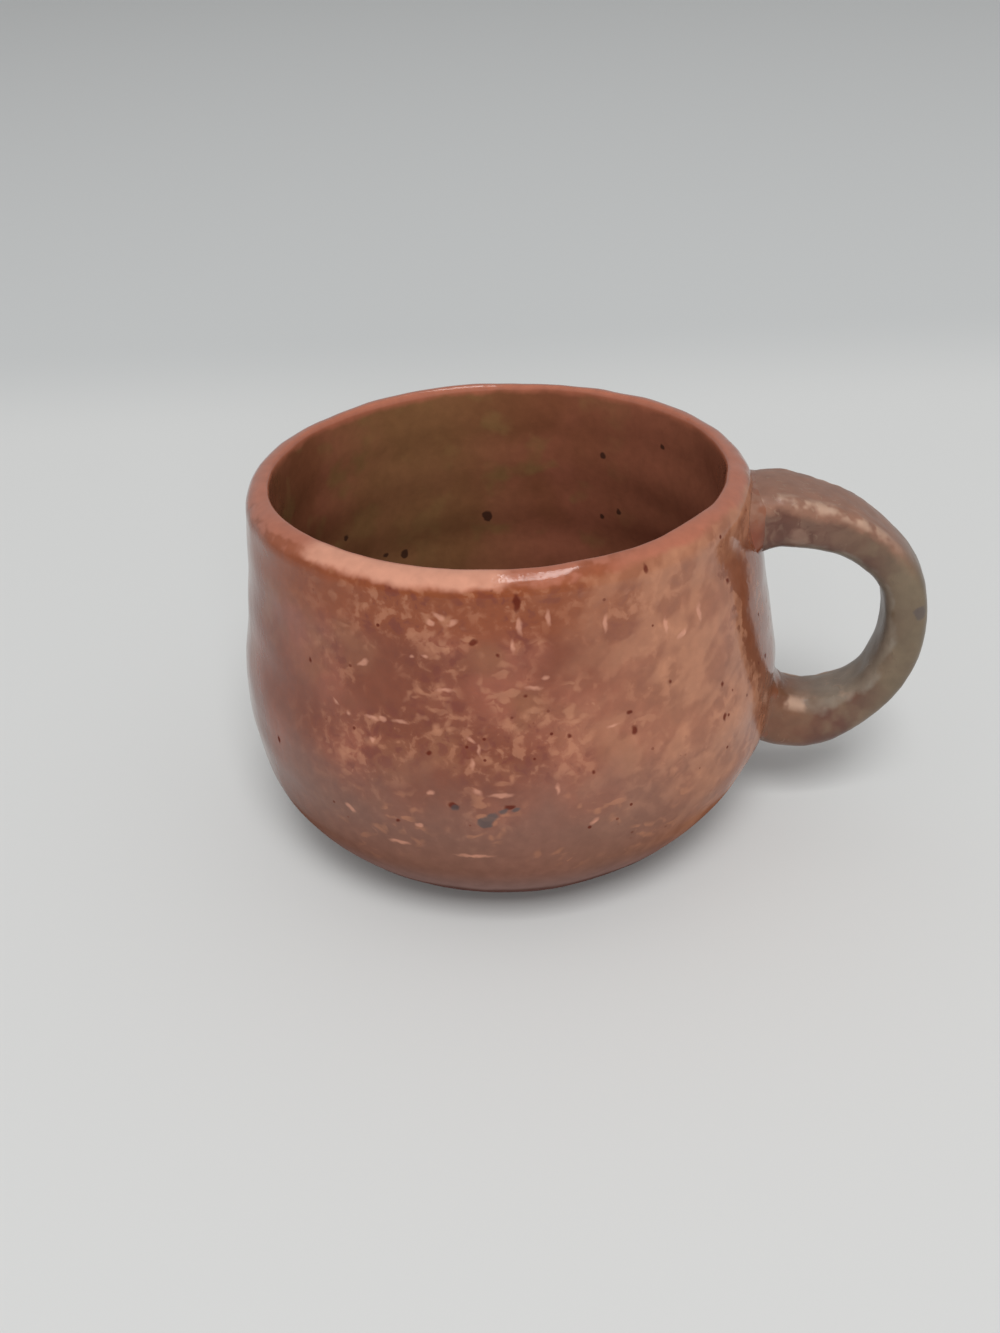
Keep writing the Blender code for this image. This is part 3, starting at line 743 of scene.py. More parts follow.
def shaded(tree, colour, place, size, strength):
    """Lightens and darkens a colour a little, in clouds about size mm across."""
    cloud = add_node(tree, "ShaderNodeTexNoise", {"Vector": place, "Scale": 1 / (size * MM), "Detail": 3.0})
    low, high = CLOUD_RANGE
    level = add_node(tree, "ShaderNodeMapRange", {"Value": cloud, "From Min": low, "From Max": high,
                                                  "To Min": 1 - strength, "To Max": 1 + strength})
    return add_node(tree, "ShaderNodeHueSaturation", {"Color": colour, "Value": level})


def crawled_glaze(tree, place, wall, bared):
    """Pale flecks where the glaze has crawled: small bright islands, dashes and curls, in clusters."""
    islands = clouded(tree, place, 1.7, 0.53, 0.74, detail=0.5)
    dashes = streaked(tree, wall, 6, 2.2, 1.7, 0.61, 0.73, detail=0.0)
    lines = add_node(tree, "ShaderNodeTexNoise", {"Vector": place, "Scale": 1 / (4.4 * MM), "Detail": 0.0,
                                                  "Distortion": 0.6})
    curls = folded(tree, PRODUCT, within(tree, (apart(tree, lines, 0.5), 0.055, 0.020)),
                   clouded(tree, place, 3.0, 0.62, 0.68))
    bright = folded(tree, LARGEST, islands, dashes, curls)
    clusters = clouded(tree, place, 9, 0.47, 0.62)
    return folded(tree, PRODUCT, bright, clusters, bared)


def wall_glaze(cup, colours):
    """Glossy iron glaze on the thrown cup: rust where it is thick, salmon on the lip, khaki at the foot.

    A dipped stoneware glaze is a thin glass: it shines, and its colour follows its own thickness."""
    material, tree = new_glaze("Rust iron glaze")
    place, x, y, height = glaze_place(tree)
    wall = unrolled(tree, place, x, y, height)
    way_round = add_node(tree, "ShaderNodeSeparateXYZ", {0: wall}).outputs["X"]
    to_handle = apart(tree, way_round, 0.0)
    wavy = wavering(tree, height, place, 9, 12 * MM)
    ragged_way = wavering(tree, way_round, place, 7, 16 * MM)
    lift = add_node(tree, "ShaderNodeAttribute", attribute_name="lift").outputs["Fac"]
    on_right = between(tree, (way_round, 84, 104))
    below_lip = folded(tree, SUM, lift, cup.height, folded(tree, PRODUCT, height, -1.0),
                       folded(tree, PRODUCT, on_right, RIGHT_LIP_DROP))
    below_lip = wavering(tree, below_lip, place, 5, 2.4 * MM)

    # Wall regions: few flecks on the left, thin glaze and painted sheen on the right, and a thick run by the
    # handle
    bared = between(tree, (apart(tree, way_round, QUIET_WAY), 5, 28), (wavy, 12, 26))
    # Painted sheen: towards the handle the wall is painted paler, partly thin glaze and partly the sheen of
    # light on that side
    worn_and_sheen = between(tree, (ragged_way, 80, 112), (wavy, 4, 16))
    leaning = folded(tree, SUM, to_handle, folded(tree, PRODUCT, height, RUN_SLANT))
    for size in (6, 1.8):
        leaning = wavering(tree, leaning, place, size, 8 * MM)
    pooled = between(tree, (leaning, 137.6, 139.0), (wavy, 22, 34), (height, 65, 62))
    from_pale = apart(tree, ragged_way, PALE_LIP_WAY)
    # Painted highlight: the stretch of the lip that faces the lamps is painted palest, over its real thin glaze
    lit_pale_way = between(tree, (from_pale, 24, 14))
    beside_pale = between(tree, (from_pale, 13, 26), (from_pale, 46, 38))
    brown_way = folded(tree, PRODUCT, beside_pale, clouded(tree, place, 3.2, 0.42, 0.60))

    mottle = add_node(tree, "ShaderNodeTexNoise", {"Vector": place, "Scale": 1 / (2.2 * MM), "Detail": 3.0,
                                                   "Roughness": 0.5, "Distortion": 0.35})
    patches = clouded(tree, place, 13, 0.40, 0.58)
    streaks = streaked(tree, wall, 36, 1.9, 5.5, 0.44, 0.58)
    flecks = crawled_glaze(tree, place, wall, bared)
    fine_iron = scattered_specks(tree, place, 2.7, 0.36, 0.40)
    iron = folded(tree, LARGEST, marked(tree, wall, IRON_SPOTS),
                  scattered_specks(tree, place, 5.5, 0.45, 0.24),
                  folded(tree, PRODUCT, fine_iron, patches, bared))
    under_lip = between(tree, (below_lip, 13, 6))
    dark_mottle = folded(tree, PRODUCT, within(tree, (mottle, 0.46, 0.36)), patches, bared)
    pale_mottle = folded(tree, PRODUCT, within(tree, (mottle, 0.50, 0.64)), patches, bared)
    khaki_zone = between(tree, (wavy, 42, 24), (way_round, 124, 96))
    on_lip = between(tree, (below_lip, 2.5, 1.3))
    on_pale_lip_and_highlight = folded(tree, PRODUCT, between(tree, (below_lip, 2.3, 1.2)), lit_pale_way)
    on_brown_lip = folded(tree, PRODUCT, between(tree, (below_lip, 0.4, 1.0), (below_lip, 3.0, 1.8)),
                          brown_way)
    # Painted shade: the wall is darkened 8 to 10 mm up, where it turns under towards the foot, as contact shade
    at_foot_shade = between(tree, (wavering(tree, height, place, 6, 1.6 * MM), 9.8, 8.2))
    outside = layered(tree, linear(colours.rust), [
        (clouded(tree, place, 18, 0.40, 0.64), 1.0, colours.rose),
        (clouded(tree, place, 11, 0.50, 0.72), 1.0, colours.ochre),
        (under_lip, 0.85, colours.drip),
        (dark_mottle, 0.65, colours.deep_red),
        # paler thin glaze and its slanting streaks, which are partly a painted sheen
        (worn_and_sheen, 0.7, colours.worn_and_sheen),
        (folded(tree, PRODUCT, streaks, worn_and_sheen), 0.65, colours.fleck),
        (pale_mottle, 0.45, colours.fleck),
        (khaki_zone, 0.8, colours.khaki),
        (between(tree, (height, 17, 9)), 0.7, colours.foot_band),
        (pooled, 0.9, colours.pooled),
        (flecks, 0.5, colours.fleck),
        (marked(tree, wall, PALE_STROKES), 0.65, colours.pale_lip),
        (iron, 0.85, colours.iron),
        (marked(tree, wall, BLUE_SPOTS), 0.8, colours.slate),
        (on_lip, 1.0, colours.lip),
        # thin glaze on the lip's front stretch, with its painted highlight
        (on_pale_lip_and_highlight, 1.0, colours.pale_lip),
        (on_brown_lip, 0.7, colours.drip),
        # painted contact shade where the wall turns under near the foot
        (at_foot_shade, 0.8, colours.foot_shade)])

    is_inside = add_node(tree, "ShaderNodeAttribute", attribute_name="inside").outputs["Fac"]
    is_bare = add_node(tree, "ShaderNodeAttribute", attribute_name="bare").outputs["Fac"]
    olive_stretch = between(tree, (to_handle, 84, 50), (to_handle, 12, 44))
    lining = layered(tree, linear(colours.lining), [
        (clouded(tree, place, 20, 0.42, 0.62), 1.0, colours.lining_red),
        (clouded(tree, place, 8, 0.52, 0.70), 1.0, colours.lining_olive),
        (olive_stretch, 0.7, colours.lining_olive),
        # Painted light: the lining towards the handle is painted redder and lighter, to stand in for light
        # reaching that side
        (between(tree, (to_handle, 76, 112)), 1.0, colours.lining_red),
        # Darker towards the floor of the cup
        (between(tree, (height, 34, 12)), 0.8, colours.lining_deep),
        (marked(tree, wall, INSIDE_SPOTS), 0.85, colours.lining_spot),
        (between(tree, (below_lip, 2.2, 0.6)), 1.0, colours.lip)])
    colour = add_node(tree, "ShaderNodeMix", {MIX_FACTOR: is_inside, MIX_COLOUR_A: outside,
                                              MIX_COLOUR_B: lining}, data_type="RGBA").outputs[MIXED_COLOUR]
    colour = layered(tree, shaded(tree, colour, place, 2.2, 0.07), [(is_bare, 1.0, colours.clay)])
    peel = add_node(tree, "ShaderNodeTexNoise", {"Vector": place, "Scale": 1 / (1.1 * MM), "Detail": 2.0})
    relief = folded(tree, SUM, folded(tree, PRODUCT, peel, 0.35), folded(tree, PRODUCT, mottle, 0.8))
    roughness = folded(tree, SUM, cup.gloss, folded(tree, PRODUCT, flecks, 0.10),
                       folded(tree, PRODUCT, is_bare, 0.55))
    wet = folded(tree, PRODUCT, between(tree, (height, 17, 40)), FULL_SHINE)
    dry_iron = folded(tree, PRODUCT, iron, FULL_SHINE)
    shine = folded(tree, LARGEST, folded(tree, DIFFERENCE, wet, dry_iron), 0.0)
    close_glaze(tree, colour, relief, 0.05 * MM, roughness, shine)
    return material


def strap_glaze(cup, colours):
    """The same glaze, khaki on the strap: greenish outside, rosy with painted light on top, pale on its edges.
    """
    material, tree = new_glaze("Khaki iron glaze")
    place, _, _, height = glaze_place(tree)
    radius = off_axis(tree, place)
    reach = wavering(tree, radius, place, 6, 9 * MM)
    on_edge = add_node(tree, "ShaderNodeAttribute", attribute_name="edge").outputs["Fac"]
    breaks = folded(tree, PRODUCT, on_edge, clouded(tree, place, 3.4, 0.42, 0.60))
    near_wall = between(tree, (reach, 63, 52), (height, 36, 26))
    near_top = between(tree, (reach, 68, 56), (height, 44, 52))
    blotches = clouded(tree, place, 3.0, 0.42, 0.60, ruffle=0.8)
    outwardness = add_node(tree, "ShaderNodeAttribute", attribute_name="outwardness").outputs["Fac"]
    facing_in = within(tree, (wavering(tree, outwardness, place, 4, 0.8), -0.45, -0.80))
    inner_face = folded(tree, PRODUCT, facing_in, between(tree, (radius, 52, 56)))
    # Painted light: the strap's top face, which the light falls on, is picked out here to be painted lighter
    facing_out = within(tree, (wavering(tree, outwardness, place, 3, 0.6), 0.35, 0.70))
    lit_top_face = folded(tree, PRODUCT, facing_out, between(tree, (height, 50, 60)))
    iron = scattered_specks(tree, place, 6, 0.45, 0.25)
    flecks = folded(tree, PRODUCT, clouded(tree, place, 1.6, 0.62, 0.70, ruffle=1.4, detail=1.0),
                    clouded(tree, place, 8, 0.48, 0.60))
    colour = layered(tree, linear(colours.strap), [
        (clouded(tree, place, 5, 0.42, 0.62), 1.0, colours.strap_brown),
        (between(tree, (radius, 62, 74)), 0.8, colours.strap_green),
        (near_top, 0.9, colours.strap_brown),
        (folded(tree, PRODUCT, blotches, near_top), 0.18, colours.strap_pale),
        # rosy glaze on the top face, painted lighter as painted light
        (lit_top_face, 0.9, colours.strap_rose),
        (inner_face, 0.8, colours.strap_grey),
        (near_wall, 0.8, colours.joint),
        (folded(tree, PRODUCT, flecks, between(tree, (radius, 68, 60))), 0.3, colours.strap_pale),
        (dabbed(tree, place, PALE_DABS), 0.2, colours.edge_break),
        (dabbed(tree, place, DARK_DABS), 0.7, colours.slate),
        (breaks, 0.75, colours.edge_break),
        (iron, 0.85, colours.iron)])
    colour = shaded(tree, colour, place, 2.4, 0.10)
    peel = add_node(tree, "ShaderNodeTexNoise", {"Vector": place, "Scale": 1 / (1.3 * MM), "Detail": 3.0})
    relief = folded(tree, SUM, folded(tree, PRODUCT, peel, 0.6), folded(tree, PRODUCT, flecks, 0.4),
                    folded(tree, PRODUCT, breaks, 0.5))
    roughness = wavering(tree, cup.gloss + 0.20, place, 5, 0.16)
    close_glaze(tree, colour, relief, 0.08 * MM, roughness, FULL_SHINE)
    return material


def joint_glaze(cup, colours):
    """The rust glaze, pooled thick and dark in the crease round each root."""
    material, tree = new_glaze("Pooled rust glaze")
    place, outward, _, height = glaze_place(tree)
    reach = wavering(tree, off_axis(tree, place), place, 4, 5 * MM)
    lower_edge = between(tree, (reach, 51, 56), (height, 45, 38))
    upper_seam = between(tree, (outward, 45.8, 47.4), (height, 45, 50), (height, 65, 62))
    colour = layered(tree, linear(colours.joint), [
        (between(tree, (height, 40, 50)), 1.0, colours.rust),
        # the strap's rosy top carried on over the collar, with its painted light
        (between(tree, (height, 62, 66)), 1.0, colours.strap_rose),
        (clouded(tree, place, 2.6, 0.46, 0.62), 0.6, colours.pooled),
        (lower_edge, 1.0, colours.strap_brown),
        (upper_seam, 1.0, colours.strap_brown)])
    colour = shaded(tree, colour, place, 2.2, 0.08)
    peel = add_node(tree, "ShaderNodeTexNoise", {"Vector": place, "Scale": 1 / (1.2 * MM), "Detail": 2.0})
    roughness = wavering(tree, cup.gloss + 0.05, place, 4, 0.08)
    close_glaze(tree, colour, peel, 0.03 * MM, roughness, FULL_SHINE)
    return material


# Settings that a user would change

def length_setting(label, text, default):
    return bpy.props.FloatProperty(name=label, description=text, default=default, min=0.0,
                                   subtype="DISTANCE", unit="LENGTH", precision=4)


def colour_setting(label, text, code):
    return bpy.props.StringProperty(name=label, description=text + ", as an sRGB hex colour", default=code)


class CupSettings(bpy.types.PropertyGroup):
    height: length_setting("Height", "Height of the cup to the top of its lip", CUP_TOP)
    rim_radius: length_setting("Rim radius", "Outside radius at the lip", 0.0452)
    belly_radius: length_setting("Belly radius", "Outside radius at the widest place", 0.0489)
    lip_thickness: length_setting("Lip thickness", "Thickness of the wall at the lip", 0.0047)
    lip_depth: length_setting("Lip depth", "Height of the lip's outer shoulder", 0.0040)
    lip_round: length_setting("Lip round", "Rounding of the lip's inner edge", 0.0008)
    lip_rise: length_setting("Lip rise", "How much higher the lip stands at the front", 0.0003)
    handle_side_fullness: length_setting("Handle side fullness", "Swell of the wall on that side", 0.0018)
    outer_rings: length_setting("Outer rings", "Height of the throwing rings outside", 0.00007)
    inner_rings: length_setting("Inner rings", "Height of the throwing rings inside", 0.00012)
    ring_pitch: length_setting("Ring pitch", "Climb of the throwing rings in one turn", 0.0108)
    out_of_round: length_setting("Out of round", "How far the wall departs from a circle", 0.00022)
    lip_unevenness: length_setting("Lip unevenness", "How far the lip rises, falls and swells", 0.00045)
    wall_unevenness: length_setting("Wall unevenness", "Depth of the broad hand marks", 0.00035)
    finger_dents: length_setting("Finger dents", "Depth of the small finger marks", 0.00012)
    seed: bpy.props.FloatProperty(name="Seed", description="Picks one set of hand marks", default=3.0)
    steps_round: bpy.props.IntProperty(name="Steps round", description="Facets round it", default=430, min=32)
    gloss: bpy.props.FloatProperty(name="Roughness", description="Roughness of the fired glaze", default=0.13,
                                   min=0.0, max=1.0, subtype="FACTOR")


class StrapSettings(bpy.types.PropertyGroup):
    width_at_top: length_setting("Width at top", "Width of the strap at its upper root", 0.0174)
    width_in_middle: length_setting("Width in middle", "Width of the strap round its bend", 0.0120)
    width_at_tail: length_setting("Width at tail", "Width of the strap at its lower root", 0.0122)
    thickness_at_top: length_setting("Thickness at top", "Thickness at the upper root", 0.0108)
    thickness_in_middle: length_setting("Thickness in middle", "Thickness round the bend", 0.0081)
    thickness_at_tail: length_setting("Thickness at tail", "Thickness at the lower root", 0.0119)
    squareness: bpy.props.FloatProperty(name="Squareness", description="2 is an ellipse, more is squarer",
                                        default=3.1, min=2.0, max=8.0)
    thumb_groove: length_setting("Thumb groove", "Depth of the hollow along the outer face", 0.0005)
    raised_edge: length_setting("Raised edge", "Height of the ragged edge of the outer face", 0.00035)
    unevenness: length_setting("Unevenness", "Depth of the broad pulling marks", 0.00045)
    finger_dents: length_setting("Finger dents", "Depth of the small finger marks", 0.00016)
    seed: bpy.props.FloatProperty(name="Seed", description="Picks one set of hand marks", default=7.0)
    steps_round: bpy.props.IntProperty(name="Steps round", description="Facets round it", default=132, min=16)


class GlazeColours(bpy.types.PropertyGroup):
    rust: colour_setting("Rust", "Thick iron glaze", "#743a24")
    rose: colour_setting("Rose", "Rosy clouds in it", "#884b37")
    pooled: colour_setting("Pooled", "Run of thick glaze beside the handle", "#7b452e")
    ochre: colour_setting("Ochre", "Ochre clouds in it", "#824d34")
    deep_red: colour_setting("Deep red", "Dark red blotches", "#6e3023")
    drip: colour_setting("Drip", "Orange run of glaze under the lip", "#813f1d")
    fleck: colour_setting("Fleck", "Pale flecks and smears", "#ad7659")
    # Paler thin glaze towards the handle, also standing in for a painted sheen on that side
    worn_and_sheen: colour_setting("Worn", "Thin glaze towards the handle", "#9a664d")
    khaki: colour_setting("Khaki", "Glaze near the foot", "#7a594d")
    foot_band: colour_setting("Foot band", "Mauve glaze, thin over the foot", "#866d68")
    # Painted shade: dark colour for the turn-under near the foot, standing in for contact shade, not for an
    # edge of the glaze
    foot_shade: colour_setting("Foot line", "Thin edge of the glaze at the foot", "#573a35")
    lip: colour_setting("Lip", "Thin glaze on the lip", "#a5634c")
    # Pale salmon of the thinnest glaze; on the lip's front stretch it also serves as a painted highlight
    pale_lip: colour_setting("Pale lip", "Thinnest glaze on the lip", "#c58b73")
    lining: colour_setting("Lining", "Glaze inside the cup", "#784933")
    # Reddish clouds inside; towards the handle the same colour also lifts the lining as painted light
    lining_red: colour_setting("Lining red", "Reddish clouds inside", "#8c5440")
    lining_olive: colour_setting("Lining olive", "Olive clouds inside", "#7f5c3c")
    # Darker lining towards the floor of the cup
    lining_deep: colour_setting("Lining deep", "Thick glaze on the floor of the cup", "#512e21")
    lining_spot: colour_setting("Lining spot", "Large iron spots inside", "#33201b")
    iron: colour_setting("Iron", "Iron specks", "#5a261e")
    slate: colour_setting("Slate", "Bluish specks", "#4f4645")
    clay: colour_setting("Clay", "Bare fired clay under the foot", "#a07c62")
    joint: colour_setting("Joint", "Pooled glaze round the roots", "#704a35")
    strap: colour_setting("Strap", "Khaki glaze of the strap", "#6b5240")
    strap_brown: colour_setting("Strap brown", "Brown clouds on the strap", "#5a382c")
    strap_green: colour_setting("Strap green", "Greenish glaze on the outer bend", "#6a5d4a")
    # Rosy glaze on top of the strap, painted lighter there as painted light
    strap_rose: colour_setting("Strap rose", "Rosy glaze on top of the strap", "#88614f")
    strap_grey: colour_setting("Strap grey", "Greyish glaze on the strap's inner face", "#81776a")
    strap_pale: colour_setting("Strap pale", "Pale flecks on the strap", "#9a7f6a")
    edge_break: colour_setting("Edge break", "Thin glaze on the strap's edge", "#b4947f")


class StageSettings(bpy.types.PropertyGroup):
    table: colour_setting("Table", "Pale table near the mug", "#d8d9d8")
    surround: colour_setting("Surround", "Greyer surface further off", "#cbcdcd")
    daylight: bpy.props.FloatProperty(name="Daylight", description="Strength of the even sky", default=0.40,
                                      min=0.0)
    lamps: bpy.props.FloatProperty(name="Lamps", description="Strength of the lamps, 1 for a plain level",
                                   default=1.0, min=0.0)


# Operators

def finish_piece(piece, node):
    """Hands a finished piece to the frame: it rides on the one body and stands for its CAD node."""
    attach(piece, "root")
    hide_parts(node)


class ThrowCup(bpy.types.Operator):
    """Throws the cup from its profile and glazes it"""
    bl_idname = "pottery_mug.throw_cup"
    bl_label = "Throw Cup"

    def execute(self, context):
        cup, colours = context.scene.mug_cup, context.scene.mug_colours
        outside = outer_curve(cup)
        inside = inner_curve(cup, outside)
        lip = lip_curve(cup, inside[-1], outside[-1])
        foot = [Vector(((FOOT_RADIUS - FOOT_BEVEL) * share, 0.0)) for share in FOOT_RINGS]
        profile = inside + lip + outside[::-1] + foot
        is_inside = [1.0] * (len(inside) + LIP_FACETS - 1) + [0.5]
        is_inside += [0.0] * (len(profile) - len(is_inside))
        is_bare = [0.0] * (len(profile) - len(foot) + 1) + [1.0] * (len(foot) - 1)
        blank = blank_line("glazed_cup", profile, {"inside": is_inside, "bare": is_bare})
        piece = run_tree(throwing_tree(), blank, cup, wall_glaze(cup, colours))
        finish_piece(piece, "cup_body")
        return {"FINISHED"}


class PullHandle(bpy.types.Operator):
    """Pulls the strap along its route from root to root and glazes it"""
    bl_idname = "pottery_mug.pull_handle"
    bl_label = "Pull Handle"

    def execute(self, context):
        cup, strap, colours = context.scene.mug_cup, context.scene.mug_strap, context.scene.mug_colours
        stations = strap_line(cup)
        length = stations[-1][0] - ROOT_SINK
        stations = [stations[0]] + stations + [stations[-1]]
        distances, places, headings = zip(*stations)
        shares = [min(max(distance / length, 0.0), 1.0) for distance in distances]
        blank = blank_line("strap_handle", places, {
            "share": shares,
            "thinned": [tapers(share)[0] for share in shares],
            "filled": [tapers(share)[1] for share in shares],
            "flare": [root_flare(distance, length) for distance in distances],
            "fullness": [0.0] + [1.0] * (len(stations) - 2) + [0.0],
            "lean_x": [-ahead.y for ahead in headings],
            "lean_z": [ahead.x for ahead in headings]})
        piece = run_tree(strap_tree(), blank, strap, strap_glaze(cup, colours))
        finish_piece(piece, "handle")
        return {"FINISHED"}


def strap_skin(strap, station, length, turn, grow):
    """The point of the strap's skin at one turn of its section, grown outwards."""
    distance, place, ahead = station
    thinned, filled = tapers(distance / length)
    spread = root_flare(distance, length) + grow
    width = strap.width_at_top + (strap.width_in_middle - strap.width_at_top) * thinned
    width += (strap.width_at_tail - strap.width_in_middle) * filled
    thickness = strap.thickness_at_top + (strap.thickness_in_middle - strap.thickness_at_top) * thinned
    thickness += (strap.thickness_at_tail - strap.thickness_in_middle) * filled
    across, out = [math.copysign(abs(wave) ** (2 / strap.squareness), wave)
                   for wave in (math.cos(turn), math.sin(turn))]
    spot = place + Vector((-ahead.y, ahead.x)) * (thickness / 2 + spread) * out
    return Vector((spot.x, (width / 2 + spread) * across, spot.y))


def station_between(stations, distance):
    """A station between the given ones, at a distance from the upper root."""
    low, high = 0, len(stations) - 1
    while high - low > 1:
        middle = (low + high) // 2
        low, high = (middle, high) if stations[middle][0] <= distance else (low, middle)
    near, far = stations[low], stations[high]
    share = (distance - near[0]) / (far[0] - near[0])
    return distance, near[1].lerp(far[1], share), near[2].lerp(far[2], share).normalized()


def root_station(strap, stations, length, wall, turn, at_tail):
    """Where, near one root, the strap's skin at this turn of its section comes out of the cup's wall."""
    near, far = -ROOT_SINK, length * ROOT_SEARCH
    for _ in range(HALVINGS):
        middle = (near + far) / 2
        station = station_between(stations, length - middle if at_tail else middle)
        point = strap_skin(strap, station, length, turn, 0.0)
        if math.hypot(point.x, point.y) < radius_at(wall, point.z):
            near = middle
        else:
            far = middle
    return station


def off_wall(wall, point):
    """The direction straight off the wall next to a point."""
    slope = (radius_at(wall, point.z + MM) - radius_at(wall, point.z - MM)) / (2 * MM)
    level = Vector((point.x, point.y, 0)).normalized()
    return Vector((level.x, level.y, -slope)).normalized()


def made_surface(name):
    """The finished surface of a piece that was made before, to press the clay on to."""
    piece = bpy.data.objects.get(name)
    if piece is None:
        raise RuntimeError("the joints are luted after the piece " + name + " is made")
    mesh = piece.data
    return BVHTree.FromPolygons([v.co for v in mesh.vertices], [p.vertices for p in mesh.polygons])


def collar_strand(joint, off_strap, away, foot, edge, shape, thickness):
    """One strand of a collar's skin, from the wall over the clay to the strap, and back inside them."""
    first = foot.lerp(joint, shape["wall_slide"]) + away * shape["wall_lift"] * thickness
    second = edge.lerp(joint, shape["strap_slide"]) + off_strap * shape["strap_lift"] * thickness
    strand = interpolate_bezier(foot, first, second, edge, COLLAR_ROWS)
    strand = [point + COLLAR_DENTS * noise.noise_vector(point / COLLAR_DENT) for point in strand]
    hidden = [(edge, off_strap), (joint, off_strap + away), (foot, away)]
    return strand + [point - outward * COLLAR_SINK for point, outward in hidden]


def lute_collar(name, cup, strap, shape, at_tail, material):
    """A ring of clay round one root, closed inside the wall and the strap."""
    outside = outer_curve(cup)
    lip = lip_curve(cup, Vector((cup.rim_radius - cup.lip_thickness, outside[-1].y)), outside[-1])
    wall = outside[::WALL_SKIP] + lip[:LIP_FACETS - 1:-1]
    wall_surface, strap_surface = made_surface("glazed_cup"), made_surface("strap_handle")
    stations = strap_line(cup)
    length = stations[-1][0] - ROOT_SINK
    body = bmesh.new()
    strands = []
    for k in range(COLLAR_TURNS):
        turn = FULL_TURN * k / COLLAR_TURNS
        side, rise = heading(turn)
        press = 1 + PRESS * noise.noise(Vector((side, rise, shape["seed"])) * PRESS_PACE)
        squeeze = 1 - (TAIL_SQUEEZE * (1 + rise) / 2 if at_tail else TOP_SQUEEZE * rise ** 2)
        root = root_station(strap, stations, length, wall, turn, at_tail)
        joint = strap_skin(strap, root, length, turn, 0.0)
        off_strap = (strap_skin(strap, root, length, turn, MM) - joint).normalized()
        away = off_wall(wall, joint)
        along_wall = (off_strap - away * off_strap.dot(away)).normalized()
        thickness = MM * press * squeeze
        foot = wall_surface.find_nearest(joint + along_wall * shape["clay"] * thickness)[0]
        reach = shape["reach"] * MM * (2 - press) * squeeze
        station = station_between(stations, root[0] - reach if at_tail else root[0] + reach)
        edge = strap_surface.find_nearest(strap_skin(strap, station, length, turn, 0.0))[0]
        strand = collar_strand(joint, off_strap, away, foot - away * COLLAR_BITE,
                               edge - off_strap * COLLAR_BITE, shape, thickness)
        strands.append([body.verts.new(point) for point in strand])
    for k, strand in enumerate(strands):
        beside = strands[(k + 1) % COLLAR_TURNS]
        for i in range(len(strand)):
            j = (i + 1) % len(strand)
            body.faces.new((strand[i], strand[j], beside[j], beside[i]))
    bmesh.ops.recalc_face_normals(body, faces=body.faces)
    mesh = bpy.data.meshes.new(name)
    body.to_mesh(mesh)
    body.free()
    mesh.shade_smooth()
    mesh.materials.append(material)
    piece = bpy.data.objects.new(name, mesh)
    bpy.context.scene.collection.objects.link(piece)
    return piece


class LuteJoints(bpy.types.Operator):
    """Works a collar of soft clay round each root of the strap and glazes it"""
    bl_idname = "pottery_mug.lute_joints"
    bl_label = "Lute Joints"

    def execute(self, context):
        cup, strap = context.scene.mug_cup, context.scene.mug_strap
        material = joint_glaze(cup, context.scene.mug_colours)
        upper = lute_collar("upper_luting", cup, strap, UPPER_COLLAR, False, material)
        lower = lute_collar("lower_luting", cup, strap, LOWER_COLLAR, True, material)
        finish_piece(upper, "upper_joint_collar")
        finish_piece(lower, "lower_joint_collar")
        return {"FINISHED"}


def table_paint(stage):
    """Matt paper: pale in a soft square round the mug, and a little greyer beyond, as the light falls off."""
    material, tree = new_glaze("Matt table paper")
    place = add_node(tree, "ShaderNodeTexCoord").outputs["Object"]
    turned = add_node(tree, "ShaderNodeMapping", {"Vector": place, "Rotation": (0, 0, -CAMERA_AZIMUTH)})
    level = add_node(tree, "ShaderNodeVectorMath", {0: turned}, operation="ABSOLUTE")
    x, y, _ = add_node(tree, "ShaderNodeSeparateXYZ", {0: level}).outputs
    reach = add_node(tree, "ShaderNodeMath", {0: x, 1: y, 2: SQUARE_CORNER}, operation="SMOOTH_MAX")
    colour = layered(tree, linear(stage.table), [(within(tree, (reach, *PALE_SQUARE)), 1.0, stage.surround)])
    surface = add_node(tree, "ShaderNodeBsdfPrincipled", {"Base Color": colour, "Roughness": PAPER_ROUGHNESS})
    add_node(tree, "ShaderNodeOutputMaterial", {"Surface": surface})
    return material


def swung(first, second, angle):
    """Two directions at right angles, swung in their own plane so that the first leans to the second."""
    return (first * math.cos(angle) + second * math.sin(angle),
            second * math.cos(angle) - first * math.sin(angle))


def photo_camera():
    """A camera at the photograph's angle: above the mug's front and a little to the side of the handle."""
    centre = Vector((0, -math.cos(CAMERA_ELEVATION), math.sin(CAMERA_ELEVATION))) * CAMERA_DISTANCE
    ahead = -centre.normalized()
    right = Vector((1, 0, 0))
    up = right.cross(ahead)
    ahead, right = swung(ahead, right, CAMERA_YAW)
    ahead, up = swung(ahead, up, CAMERA_PITCH)
    right, up = swung(right, up, CAMERA_ROLL)
    centre.z += CAMERA_AIM_HEIGHT
    matrix = Matrix((right, up, -ahead)).transposed().to_4x4()
    matrix.translation = centre
    data = bpy.data.cameras.new("Photo camera")
    data.sensor_fit = "VERTICAL"
    data.sensor_height = CAMERA_SENSOR
    data.lens = CAMERA_LENS
    data.clip_start = MM
    camera = bpy.data.objects.new("Photo camera", data)
    camera.matrix_world = Matrix.Rotation(CAMERA_AZIMUTH, 4, "Z") @ matrix
    return camera


